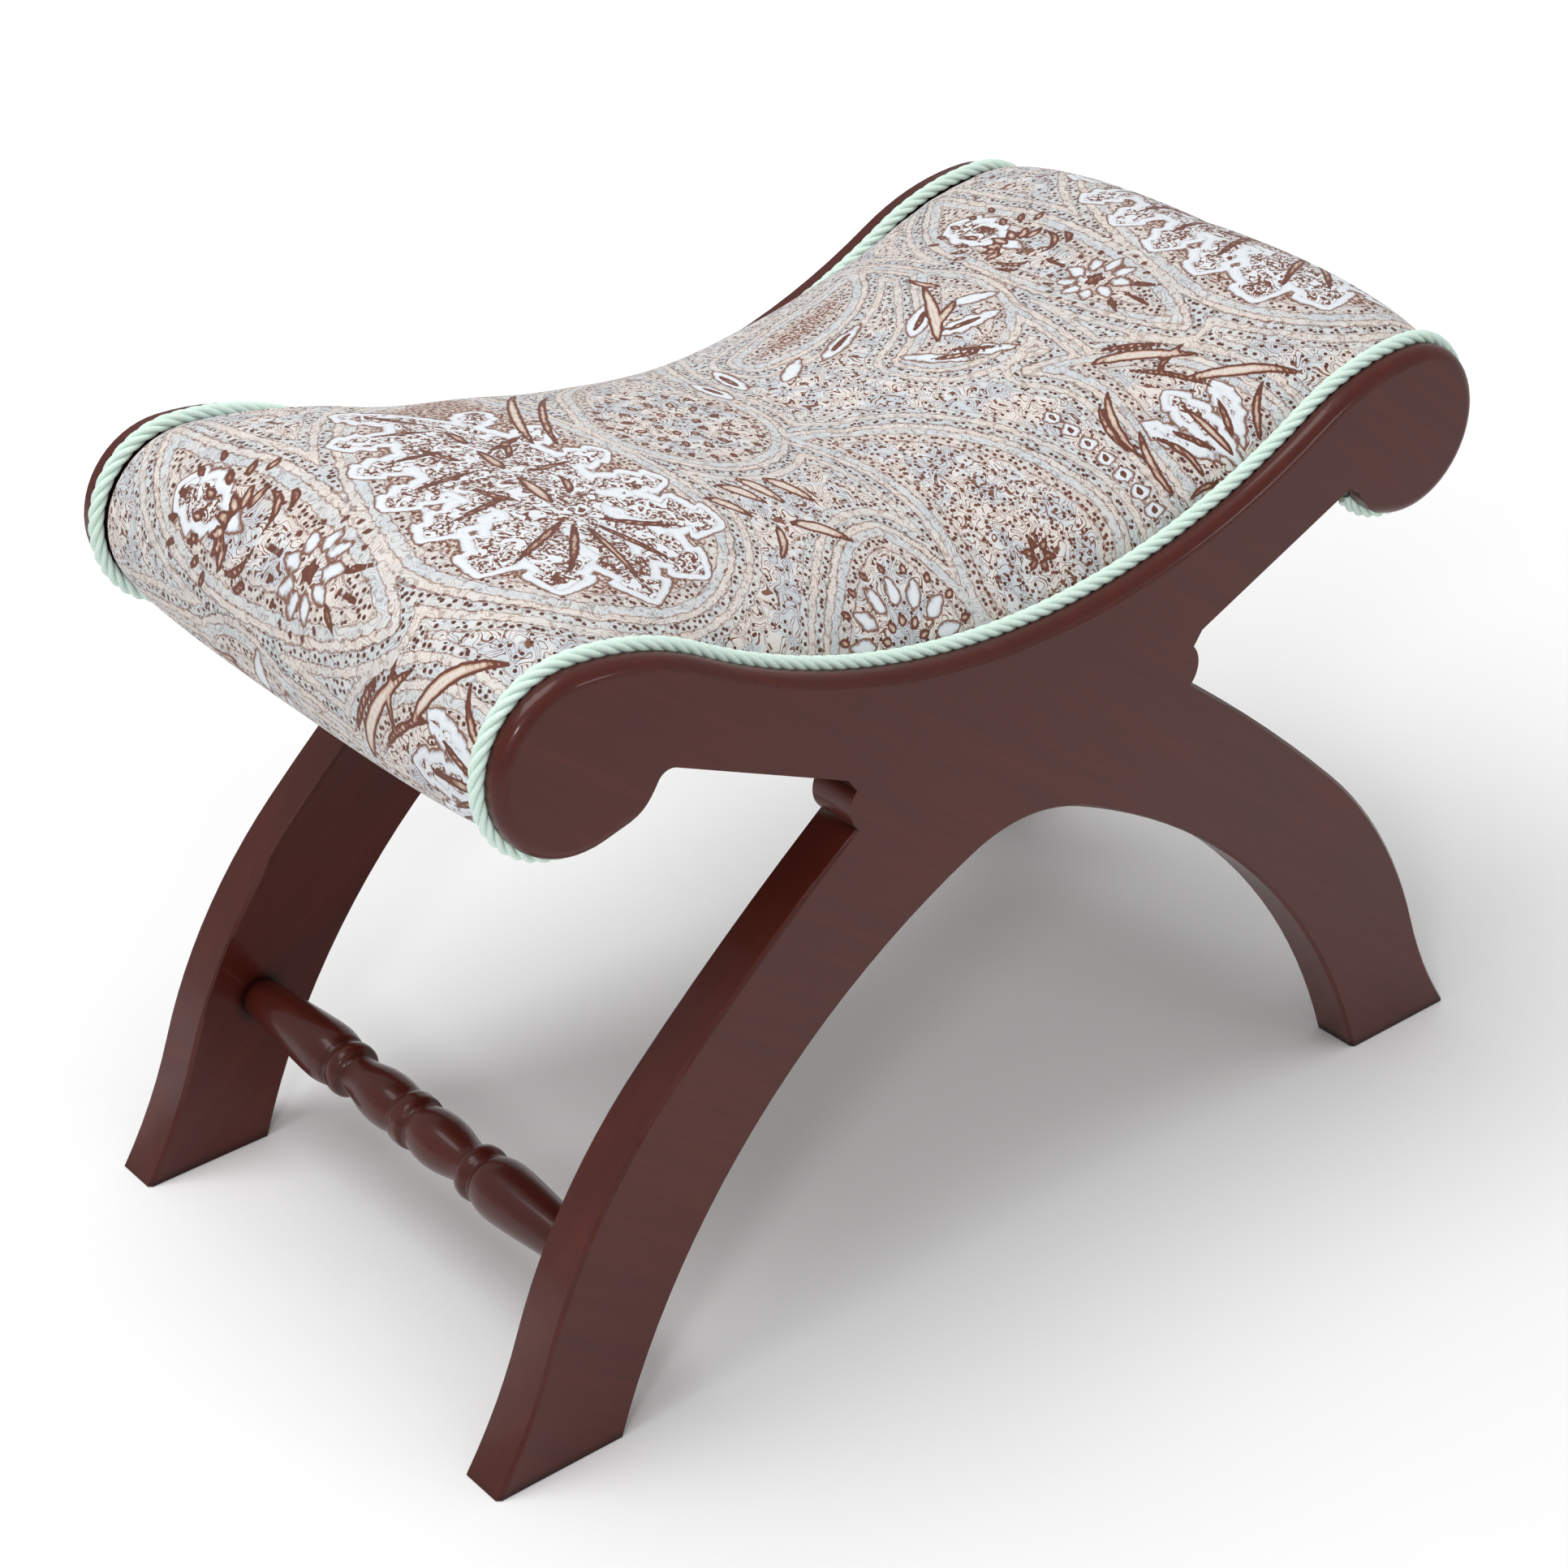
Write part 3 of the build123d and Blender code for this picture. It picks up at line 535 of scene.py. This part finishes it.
# The print: rows of motifs drawn in millimetres on the flat cloth, and repeated along it. Each kind of motif is
# kept on the cover as a distance from its outline, and the material inks the lines and the grounds from these.
repeat = 440.0
corners = np.empty(len(cover.data.loops), dtype=int)
cover.data.loops.foreach_get("vertex_index", corners)
woven = np.empty(len(cover.data.loops) * 2)
cover.data.uv_layers["cloth"].data.foreach_get("uv", woven)
woven = woven.reshape(-1, 2) * 1000
length_at = np.zeros(len(cover.data.vertices))
width_at = np.full(len(cover.data.vertices), 1e3)
length_at[corners] = woven[:, 0]
np.minimum.at(width_at, corners, woven[:, 1])


def strand_of_discs(line):
    """Distance from a motif drawn as discs that swell and shrink along a line: (length, width, radius) each."""
    line = np.array(line, dtype=float)
    for turn in range(2):
        ahead = 0.75 * line[:-1] + 0.25 * line[1:]
        behind = 0.25 * line[:-1] + 0.75 * line[1:]
        cut = np.stack((ahead, behind), axis=1).reshape(-1, 3)
        line = np.vstack((line[:1], cut, line[-1:]))
    run = np.concatenate(([0], np.cumsum(np.hypot(*np.diff(line[:, :2], axis=0).T) + 1e-6)))
    fine = np.linspace(0, run[-1], max(2, int(run[-1] / 2.5)))
    discs = np.column_stack([np.interp(fine, run, line[:, i]) for i in range(3)])
    nearest = np.full(len(length_at), 1e3)
    for x, y, radius in discs:
        away = np.mod(length_at - x + repeat / 2, repeat) - repeat / 2
        nearest = np.minimum(nearest, np.hypot(away, width_at - y) - radius)
    return nearest


def leaf(foot, tip, wide, curl=0.0, teeth=0, depth=0.0, blunt=0.8, fullest=0.8):
    """Distance from a leaf that grows from its foot to its tip, pointed or blunt, curled, with a toothed edge."""
    run = np.subtract(tip, foot)
    size = np.hypot(*run)
    middle = (foot[0] + tip[0]) / 2
    away = np.mod(length_at - middle + repeat / 2, repeat) - repeat / 2 + middle - foot[0]
    out = (away * run[0] + (width_at - foot[1]) * run[1]) / size**2
    off = ((width_at - foot[1]) * run[0] - away * run[1]) / size
    held = np.clip(out, 0, 1)
    off = off - curl * 4 * held * (1 - held)
    swell = wide * np.sin(pi * held**fullest) ** blunt
    if teeth:
        swell = swell * (1 - depth * np.abs(np.mod(held * teeth, 1) - 0.2))
    beyond = (out - held) * size
    return np.where(beyond == 0, np.abs(off) - swell, np.hypot(beyond, off))


def lobe(foot, tip, wide, curl=0.0):
    """One blunt, scalloped white lobe of a large flower."""
    return leaf(foot, tip, wide, curl, 5, 0.4, 0.55, 1.7)


def rosette(centre, inner, outer, wide, count, start=0.0, arc=360.0):
    """Petals round a centre, from an inner to an outer radius."""
    petals = []
    for index in range(count):
        swing = radians(start + arc * index / count)
        way = (sin(swing), cos(swing))
        foot = (centre[0] + inner * way[0], centre[1] + inner * way[1])
        petals.append(leaf(foot, (centre[0] + outer * way[0], centre[1] + outer * way[1]), wide))
    return petals


# The motifs that the bands follow, each named for what it looks like
bud = strand_of_discs([(-263, -72, 3), (-264, -50, 14), (-264, -20, 21), (-264, 15, 25), (-263, 45, 25),
                       (-262, 72, 19), (-254, 98, 10), (-244, 122, 2)])
palmette = strand_of_discs([(-183, -62, 66), (-180, -10, 58), (-172, 38, 44), (-156, 72, 28), (-132, 102, 12),
                            (-106, 122, 2)])
dotted = strand_of_discs([(-74, 4, 50), (-66, 40, 40), (-42, 72, 24), (-12, 92, 8), (4, 104, 1)])
eye = strand_of_discs([(28, -132, 46), (24, -98, 38), (8, -62, 26), (-18, -36, 12), (-38, -26, 2)])
fan = strand_of_discs([(-54, -152, 44), (-52, -122, 28), (-44, -104, 10)])
brown = strand_of_discs([(22, 52, 14), (56, 58, 22), (92, 70, 17), (118, 88, 6)])
spray = strand_of_discs([(64, -6, 4), (82, -14, 18), (110, -8, 26), (128, 18, 22), (132, 44, 8)])
vine = strand_of_discs([(-330, -140, 4), (-310, -60, 4), (-304, 0, 4), (-308, 70, 4), (-326, 140, 4)])
tulip = strand_of_discs([(138, -150, 30), (140, -118, 34), (136, -86, 22), (118, -64, 8), (100, -52, 2)])
outline = np.minimum.reduce([bud, palmette, dotted, eye, fan, brown, spray, vine, tulip])

# The great carnation's white lobes, the leaves of the other sprays and the small rosettes
white = np.minimum.reduce([
    lobe((-184, -34), (-236, -84), 17, 4), lobe((-186, -44), (-216, -108), 17, 2),
    lobe((-182, -46), (-180, -120), 17), lobe((-178, -44), (-146, -108), 17, -2),
    lobe((-174, -34), (-120, -82), 17, -4), lobe((-176, -26), (-124, -46), 13, -2),
    lobe((-188, -24), (-238, -50), 14, 3), lobe((-188, -4), (-236, -20), 14, 3),
    lobe((-186, 18), (-230, 12), 13, 2), lobe((-182, 36), (-222, 44), 12, 1), lobe((-176, 44), (-200, 80), 12),
    lobe((-176, -8), (-130, -12), 13, -2), lobe((-176, 12), (-136, 22), 12, -2),
    lobe((-172, 32), (-148, 58), 12, -1), leaf((-182, -74), (-180, 72), 32),
    leaf((84, -16), (112, -36), 5, 0, 4, 0.4), leaf((92, 0), (130, -8), 6, 0, 4, 0.4),
    leaf((84, 8), (112, 24), 5, 0), leaf((66, -2), (90, -30), 4, 0, 3, 0.4), leaf((118, 14), (142, 6), 4, 0),
    leaf((-10, 26), (-2, 58), 5, 0), leaf((12, 22), (34, 34), 4, 0), leaf((-24, 20), (-26, 48), 5, 0),
    leaf((40, 24), (78, 36), 4, 0), lobe((138, -148), (138, -98), 11), lobe((132, -140), (116, -106), 7, 1),
    lobe((144, -140), (160, -106), 7, -1), lobe((-263, 30), (-262, 84), 13),
] + [leaf((84 + row, -84 - 10 * row), (86 + row, -77 - 10 * row), 4.5) for row in range(7)]
  + rosette((-263, -18), 7, 17, 2.6, 9) + rosette((-54, -150), 17, 30, 3.2, 13))

# The rust-brown leaves, the veins of the white ones, the chain's dots and the dashes round the rosettes
rust = np.minimum.reduce([
    leaf((124, -67), (170, -94), 3.5, 5), leaf((150, -98), (190, -130), 3.2, 5),
    leaf((118, -84), (102, -124), 2.3, -6), leaf((112, -108), (104, -146), 2.2, -5),
    leaf((134, -80), (158, -112), 1.8, 4), leaf((108, -88), (100, -118), 1.9, -4),
    leaf((86, -14), (108, -32), 1.5), leaf((96, 0), (124, -7), 1.6), leaf((88, 10), (108, 21), 1.5),
    leaf((-9, 32), (-4, 52), 1.6), leaf((-24, 26), (-25, 42), 1.6), leaf((46, 26), (70, 34), 1.5),
    leaf((-104, -54), (-86, -72), 3.4, 2), leaf((-90, -51), (-77, -74), 3.4, 2),
    leaf((-76, -54), (-61, -77), 3.4, 2), leaf((-84, -84), (-58, -102), 3.4, 2),
    leaf((-118, -62), (-100, -80), 3.0, 2), leaf((-92, -84), (-104, -104), 2.4, 2),
    leaf((-154, 8), (-108, 78), 2.6, 6), leaf((-146, 2), (-98, 66), 1.9, 6), leaf((88, -6), (125, 42), 3.4, -2),
    leaf((100, 6), (124, 16), 2.6), leaf((74, -14), (98, -28), 2.0), leaf((128, 30), (124, 52), 2.2, 2),
    leaf((-278, 34), (-263, 18), 1.7, -5), leaf((-248, 34), (-263, 18), 1.7, 5),
    leaf((-282, 26), (-274, 16), 1.6, -2), leaf((-244, 26), (-252, 16), 1.6, 2),
    leaf((-263, 14), (-263, 4), 1.0), leaf((-263, -40), (-263, -52), 1.0), leaf((-268, -34), (-276, -46), 1.4),
    leaf((-258, -34), (-250, -46), 1.4), leaf((-186, -60), (-222, -84), 1.7, 1),
    leaf((-184, -64), (-206, -98), 1.7, 1), leaf((-181, -66), (-180, -108), 1.7),
    leaf((-178, -64), (-156, -98), 1.7, -1), leaf((-176, -60), (-138, -78), 1.7, -1),
    leaf((-190, -34), (-226, -46), 1.5), leaf((-190, -8), (-222, -14), 1.5), leaf((-188, 16), (-216, 15), 1.5),
    leaf((-176, -14), (-146, -12), 1.5), leaf((-174, 12), (-150, 20), 1.5), leaf((-182, 40), (-204, 44), 1.5),
    leaf((-178, 48), (-192, 70), 1.5), leaf((-182, -46), (-180, -18), 2.6),
    leaf((-192, -40), (-200, -20), 1.8, 2), leaf((-172, -40), (-164, -20), 1.8, -2),
    leaf((-180, -10), (-178, 14), 2.4), leaf((-188, 2), (-196, 24), 1.7, 2),
    leaf((-172, 2), (-162, 22), 1.7, -2), leaf((-178, 20), (-176, 38), 2.0),
    leaf((138, -140), (138, -108), 2.2), leaf((133, -134), (122, -114), 1.6),
    leaf((143, -134), (154, -114), 1.6), leaf((152, -142), (176, -120), 1.8, 3),
    leaf((126, -148), (108, -146), 1.6, -2), leaf((120, -142), (112, -112), 1.8, -4),
    leaf((152, -150), (184, -146), 1.8, 3), leaf((144, -90), (172, -83), 1.6, 3),
    leaf((134, -62), (166, -80), 1.8, 2),
] + [leaf((84.5 + row, -82.5 - 10 * row), (85.5 + row, -78.5 - 10 * row), 1.5) for row in range(7)]
  + rosette((-54, -150), 8, 14, 2.2, 10) + rosette((-54, -150), 31, 37, 1.9, 18)
  + rosette((-74, 4), 9, 15, 2.2, 8) + rosette((-74, 4), 21, 29, 2.0, 14, 8) + rosette((-74, 4), 35, 41, 1.7, 22)
  + rosette((28, -132), 2, 9, 1.8, 6) + rosette((-263, -18), 19, 23, 1.3, 16) + rosette((-263, -18), 0, 5, 1.4, 5)
  + rosette((-263, 34), 6, 17, 2.2, 7, -78, 182) + rosette((-263, 36), 21, 30, 1.8, 8, -62, 142)
  + rosette((-263, 40), 34, 42, 1.5, 5, -26, 65))

# Rings round the middle of the round motif, and the ground of the two motifs that are stippled
ring_gap = 8.5
from_eye = np.hypot(np.mod(length_at - 28 + repeat / 2, repeat) - repeat / 2, width_at + 132)
rings = np.abs(np.mod(from_eye - 13, ring_gap) - ring_gap / 2)
eye_rings = np.where(eye < -6, rings, 9.0)
stippled = np.maximum.reduce([-palmette, -brown])
for name, distances in (("outline", outline), ("white_leaves", white), ("rust_leaves", rust), ("stippled", stippled),
                        ("eye_rings", eye_rings)):
    kept = cover.data.attributes.new(name, "FLOAT", "POINT")
    kept.data.foreach_set("value", distances)

# Printed cotton: a matt cloth with a faint nap, a bleached ground and fine brown drawing. All of its patterns are
# in millimetres on the flat cloth, and a noise of about 5 mm makes the lines wander as a hand does.
paisley = bpy.data.materials.new("printed_paisley_cotton")
paisley.use_nodes = True
tree = paisley.node_tree
tree.nodes.clear()
on_cloth = {"noise_dimensions": "2D"}
cells_on_cloth = {"voronoi_dimensions": "2D"}
flat_cloth = add(tree, "ShaderNodeUVMap", {"uv_map": "cloth"})
scaled = add(tree, "ShaderNodeVectorMath", {"operation": "SCALE"}, {0: flat_cloth.outputs[0], "Scale": 1000.0})
in_mm = scaled.outputs[0]
shaky = add(tree, "ShaderNodeTexNoise", on_cloth, {"Vector": in_mm, "Scale": 0.22, "Detail": 2.0})

# For each kind of motif: how far its line wanders, and the distances from it between which its inks are laid
place = {}
for name, shake, low, high in (("outline", 3.0, -16.0, 16.0), ("white_leaves", 3.0, -16.0, 2.0),
                               ("rust_leaves", 1.2, -4.0, 1.0), ("stippled", 3.0, 13.0, 14.0),
                               ("eye_rings", 1.0, 0.0, 4.0)):
    drawn = add(tree, "ShaderNodeAttribute", {"attribute_name": name})
    moved = add(tree, "ShaderNodeMath", {"operation": "MULTIPLY_ADD"},
                {0: shaky.outputs["Fac"], 1: shake, 2: -shake / 2})
    wandering = add(tree, "ShaderNodeMath", {"operation": "ADD"}, {0: drawn.outputs["Fac"], 1: moved.outputs[0]})
    between = add(tree, "ShaderNodeMapRange", {},
                  {"Value": wandering.outputs[0], "From Min": low, "From Max": high})
    place[name] = between.outputs[0]

# The bleached ground, with pale blue and warm white areas 20 mm wide
areas = add(tree, "ShaderNodeTexNoise", on_cloth, {"Vector": in_mm, "Scale": 0.05, "Detail": 2.0})
ground = add(tree, "ShaderNodeValToRGB", {}, {"Fac": areas.outputs["Fac"]},
             [(0.40, "#c9d0d6"), (0.50, "#dedfdf"), (0.58, "#e2dbd5")])

# Fine rust-brown contour work in nested curls, and florets about 6 mm apart
curls = add(tree, "ShaderNodeTexNoise", on_cloth, {"Vector": in_mm, "Scale": 0.13, "Detail": 1.0, "Distortion": 0.8})
sevenfold = add(tree, "ShaderNodeMath", {"operation": "MULTIPLY"}, {0: curls.outputs["Fac"], 1: 7.0})
nested = add(tree, "ShaderNodeMath", {"operation": "FRACT"}, {0: sevenfold.outputs[0]})
curl_lines = add(tree, "ShaderNodeValToRGB", {}, {"Fac": nested.outputs[0]}, [
    (0.0, "#ffffff"), (0.20, "#ffffff"), (0.30, "#000000"), (0.62, "#000000"), (0.70, "#5c5c5c"), (0.80, "#000000")])
florets = add(tree, "ShaderNodeTexVoronoi", cells_on_cloth, {"Vector": in_mm, "Scale": 0.17, "Randomness": 0.9})
floret_rings = add(tree, "ShaderNodeValToRGB", {}, {"Fac": florets.outputs["Distance"]}, [
    (0.0, "#ffffff"), (0.13, "#ffffff"), (0.17, "#000000"), (0.27, "#000000"), (0.30, "#bbbbbb"), (0.34, "#000000")])

# The bands that follow every motif, inside and outside its outline, with chains of dots in three of them
bands = add(tree, "ShaderNodeValToRGB", {}, {"Fac": place["outline"]}, [
    (0.00, "#d6cdc6"), (0.09, "#7d5140"), (0.12, "#d4cbc4"), (0.27, "#84604f"), (0.295, "#cbd1d4"),
    (0.42, "#8f6f60"), (0.445, "#dcd3cb"), (0.53, "#6b4333"), (0.56, "#c9cfd0"), (0.68, "#8a6a5a"),
    (0.70, "#dcd3cb"), (0.80, "#7a5545"), (0.82, "#d2d6d6"), (0.93, "#8d6d5f"), (0.95, "#d9dcdf")])
bands.color_ramp.interpolation = "CONSTANT"
band_reach = add(tree, "ShaderNodeValToRGB", {}, {"Fac": place["outline"]}, [
    (0.02, "#000000"), (0.06, "#c8c8c8"), (0.95, "#c8c8c8"), (0.98, "#000000")])
beads = add(tree, "ShaderNodeTexVoronoi", cells_on_cloth, {"Vector": in_mm, "Scale": 0.30, "Randomness": 0.8})
bead_dots = add(tree, "ShaderNodeValToRGB", {}, {"Fac": beads.outputs["Distance"]}, [
    (0.0, "#ffffff"), (0.22, "#ffffff"), (0.34, "#000000")])
beaded = add(tree, "ShaderNodeValToRGB", {}, {"Fac": place["outline"]}, [
    (0.0, "#000000"), (0.13, "#ffffff"), (0.26, "#000000"), (0.57, "#ffffff"), (0.67, "#000000"),
    (0.83, "#ffffff"), (0.92, "#000000")])
beaded.color_ramp.interpolation = "CONSTANT"
chains = add(tree, "ShaderNodeMath", {"operation": "MULTIPLY"},
             {0: bead_dots.outputs["Color"], 1: beaded.outputs["Color"]})

# Brown stippled grounds inside the large motifs, and dotted rings in the round one
specks = add(tree, "ShaderNodeTexNoise", on_cloth, {"Vector": in_mm, "Scale": 0.55, "Detail": 3.0})
stipple = add(tree, "ShaderNodeValToRGB", {}, {"Fac": specks.outputs["Fac"]}, [
    (0.38, "#5f3324"), (0.46, "#87594a"), (0.52, "#b09685"), (0.60, "#d0cbca")])
ring_lines = add(tree, "ShaderNodeValToRGB", {}, {"Fac": place["eye_rings"]}, [
    (0.0, "#ffffff"), (0.35, "#ffffff"), (0.5, "#000000")])
ring_dots = add(tree, "ShaderNodeMath", {"operation": "MULTIPLY"},
                {0: ring_lines.outputs["Color"], 1: bead_dots.outputs["Color"]})

# White toothed leaves: a brown line round them, a white margin, and down their middles fine brown specks, white
# patches and brown strokes that run round these, as petals are drawn
speck_mask = add(tree, "ShaderNodeValToRGB", {}, {"Fac": specks.outputs["Fac"]}, [(0.46, "#ffffff"), (0.52, "#000000")])
petals = add(tree, "ShaderNodeTexNoise", on_cloth,
             {"Vector": in_mm, "Scale": 0.16, "Detail": 1.5, "Distortion": 1.2})
patches = add(tree, "ShaderNodeValToRGB", {}, {"Fac": petals.outputs["Fac"]}, [(0.55, "#000000"), (0.57, "#ffffff")])
strokes = add(tree, "ShaderNodeValToRGB", {}, {"Fac": petals.outputs["Fac"]}, [
    (0.485, "#000000"), (0.495, "#ffffff"), (0.54, "#ffffff"), (0.55, "#000000")])
leaf_work = colour("#dddddd")
for mask, ink in ((speck_mask, "#6b3a29"), (patches, "#e2e6ea"), (strokes, "#6b3a29")):
    laid = add(tree, "ShaderNodeMix", {"data_type": "RGBA"}, {0: mask.outputs["Color"], 6: leaf_work, 7: colour(ink)})
    leaf_work = laid.outputs[2]
leaf_edge = add(tree, "ShaderNodeValToRGB", {}, {"Fac": place["white_leaves"]}, [
    (0.0, "#d5d9de"), (0.58, "#8a6250"), (0.62, "#d8dee5"), (0.76, "#e6eaee"), (0.84, "#d6dde4"), (0.90, "#7d5443"),
    (1.0, "#8a6250")])
leaf_heart = add(tree, "ShaderNodeValToRGB", {}, {"Fac": place["white_leaves"]}, [(0.57, "#ffffff"), (0.61, "#000000")])
leaf_ink = add(tree, "ShaderNodeMix", {"data_type": "RGBA"},
               {0: leaf_heart.outputs["Color"], 6: leaf_edge.outputs["Color"], 7: leaf_work})
leaf_mask = add(tree, "ShaderNodeValToRGB", {}, {"Fac": place["white_leaves"]}, [(0.93, "#ffffff"), (0.96, "#000000")])

# Rust-brown leaves and dashes, darker at their edges and paler along the vein
rust_ink = add(tree, "ShaderNodeValToRGB", {}, {"Fac": place["rust_leaves"]}, [
    (0.0, "#9a6f5a"), (0.16, "#cdb8aa"), (0.34, "#dfd7cf"), (0.52, "#c8ad9b"), (0.62, "#6b3826"), (1.0, "#4f2415")])
rust_mask = add(tree, "ShaderNodeValToRGB", {}, {"Fac": place["rust_leaves"]}, [(0.80, "#ffffff"), (0.88, "#000000")])

# The inks are printed one over another in this order
print_colour = ground.outputs["Color"]
for mask, ink in (
    (curl_lines.outputs["Color"], colour("#7a4f3d")),
    (floret_rings.outputs["Color"], colour("#54281a")),
    (band_reach.outputs["Color"], bands.outputs["Color"]),
    (chains.outputs[0], colour("#55291b")),
    (place["stippled"], stipple.outputs["Color"]),
    (ring_dots.outputs[0], colour("#6b3826")),
    (leaf_mask.outputs["Color"], leaf_ink.outputs[2]),
    (rust_mask.outputs["Color"], rust_ink.outputs["Color"]),
):
    printed = add(tree, "ShaderNodeMix", {"data_type": "RGBA"}, {0: mask, 6: print_colour, 7: ink})
    print_colour = printed.outputs[2]

# Woven threads, drawn at three quarters of a millimetre so that they show
threads = add(tree, "ShaderNodeTexChecker", {},
              {"Vector": in_mm, "Scale": 1.35, "Color1": (1, 1, 1, 1), "Color2": (0.90, 0.90, 0.90, 1)})
woven_colour = add(tree, "ShaderNodeMix", {"data_type": "RGBA", "blend_type": "MULTIPLY"},
                   {0: 1.0, 6: print_colour, 7: threads.outputs["Color"]})
weave = add(tree, "ShaderNodeBump", {}, {"Strength": 0.25, "Distance": 0.0002, "Height": threads.outputs["Fac"]})
skin = add(tree, "ShaderNodeBsdfPrincipled", {}, {"Base Color": woven_colour.outputs[2], "Roughness": 0.85,
                                                  "Sheen Weight": 0.12, "Normal": weave.outputs[0]})
add(tree, "ShaderNodeOutputMaterial", {}, {"Surface": skin.outputs[0]})
cover.data.materials.append(paisley)
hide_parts("seat_cover")
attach(cover, "root")


# The trim cords: four-strand twisted cord in pale green cotton, glued in the rebate along the cover's edges and
# round each scroll to the notch under it. A strand goes once round in 28 mm.
cord_end = saddle_length + hump_length + scroll_radius * radians(232.0)
cord_lead = 28.0
cord_above_edge = 1.1
cord_from_middle = 137.9
strands = 4
strand_offset = 2.03
strand_radius = 1.43

# Twisted cotton: matt, with a soft nap and fibres that show as flecks of about a millimetre and a half
twisted = bpy.data.materials.new("twisted_cotton_cord")
twisted.use_nodes = True
tree = twisted.node_tree
tree.nodes.clear()
spot = add(tree, "ShaderNodeTexCoord")
fuzz = add(tree, "ShaderNodeTexNoise", {}, {"Vector": spot.outputs["Object"], "Scale": 700.0, "Detail": 3.0})
tone = add(tree, "ShaderNodeMix", {"data_type": "RGBA"},
           {0: fuzz.outputs["Fac"], 6: colour("#c6dfd2"), 7: colour("#e2f4ea")})
fibres = add(tree, "ShaderNodeBump", {}, {"Strength": 0.5, "Distance": 0.0003, "Height": fuzz.outputs["Fac"]})
skin = add(tree, "ShaderNodeBsdfPrincipled", {}, {"Base Color": tone.outputs[2], "Roughness": 0.7,
                                                  "Sheen Weight": 0.25, "Normal": fibres.outputs[0]})
add(tree, "ShaderNodeOutputMaterial", {}, {"Surface": skin.outputs[0]})
for side, name in ((-1, "front"), (1, "back")):
    bpy.ops.object.select_all(action="DESELECT")
    line = bpy.data.curves.new(f"trim_cord_{name}_twisted", "CURVE")
    line.dimensions = "3D"
    line.bevel_depth = strand_radius / 1000
    line.bevel_resolution = 3
    line.use_fill_caps = True
    along = np.arange(-cord_end, cord_end, cord_lead / 14)
    for strand in range(strands):
        turn = 2 * pi * (strand / strands - along / cord_lead)
        x, z = top_edge(along, cord_above_edge + strand_offset * np.cos(turn))
        y = side * cord_from_middle + strand_offset * np.sin(turn)
        points = np.column_stack((x / 1000, y / 1000, z / 1000, np.ones(len(along))))
        spline = line.splines.new("POLY")
        spline.points.add(len(along) - 1)
        spline.points.foreach_set("co", points.ravel())
    cord = bpy.data.objects.new(line.name, line)
    scene.collection.objects.link(cord)
    bpy.context.view_layer.objects.active = cord
    cord.select_set(True)
    bpy.ops.object.convert(target="MESH")
    cord = bpy.context.object
    bpy.ops.object.shade_smooth()
    cord.data.materials.append(twisted)
    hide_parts(f"trim_cord_{name}")
    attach(cord, "root")
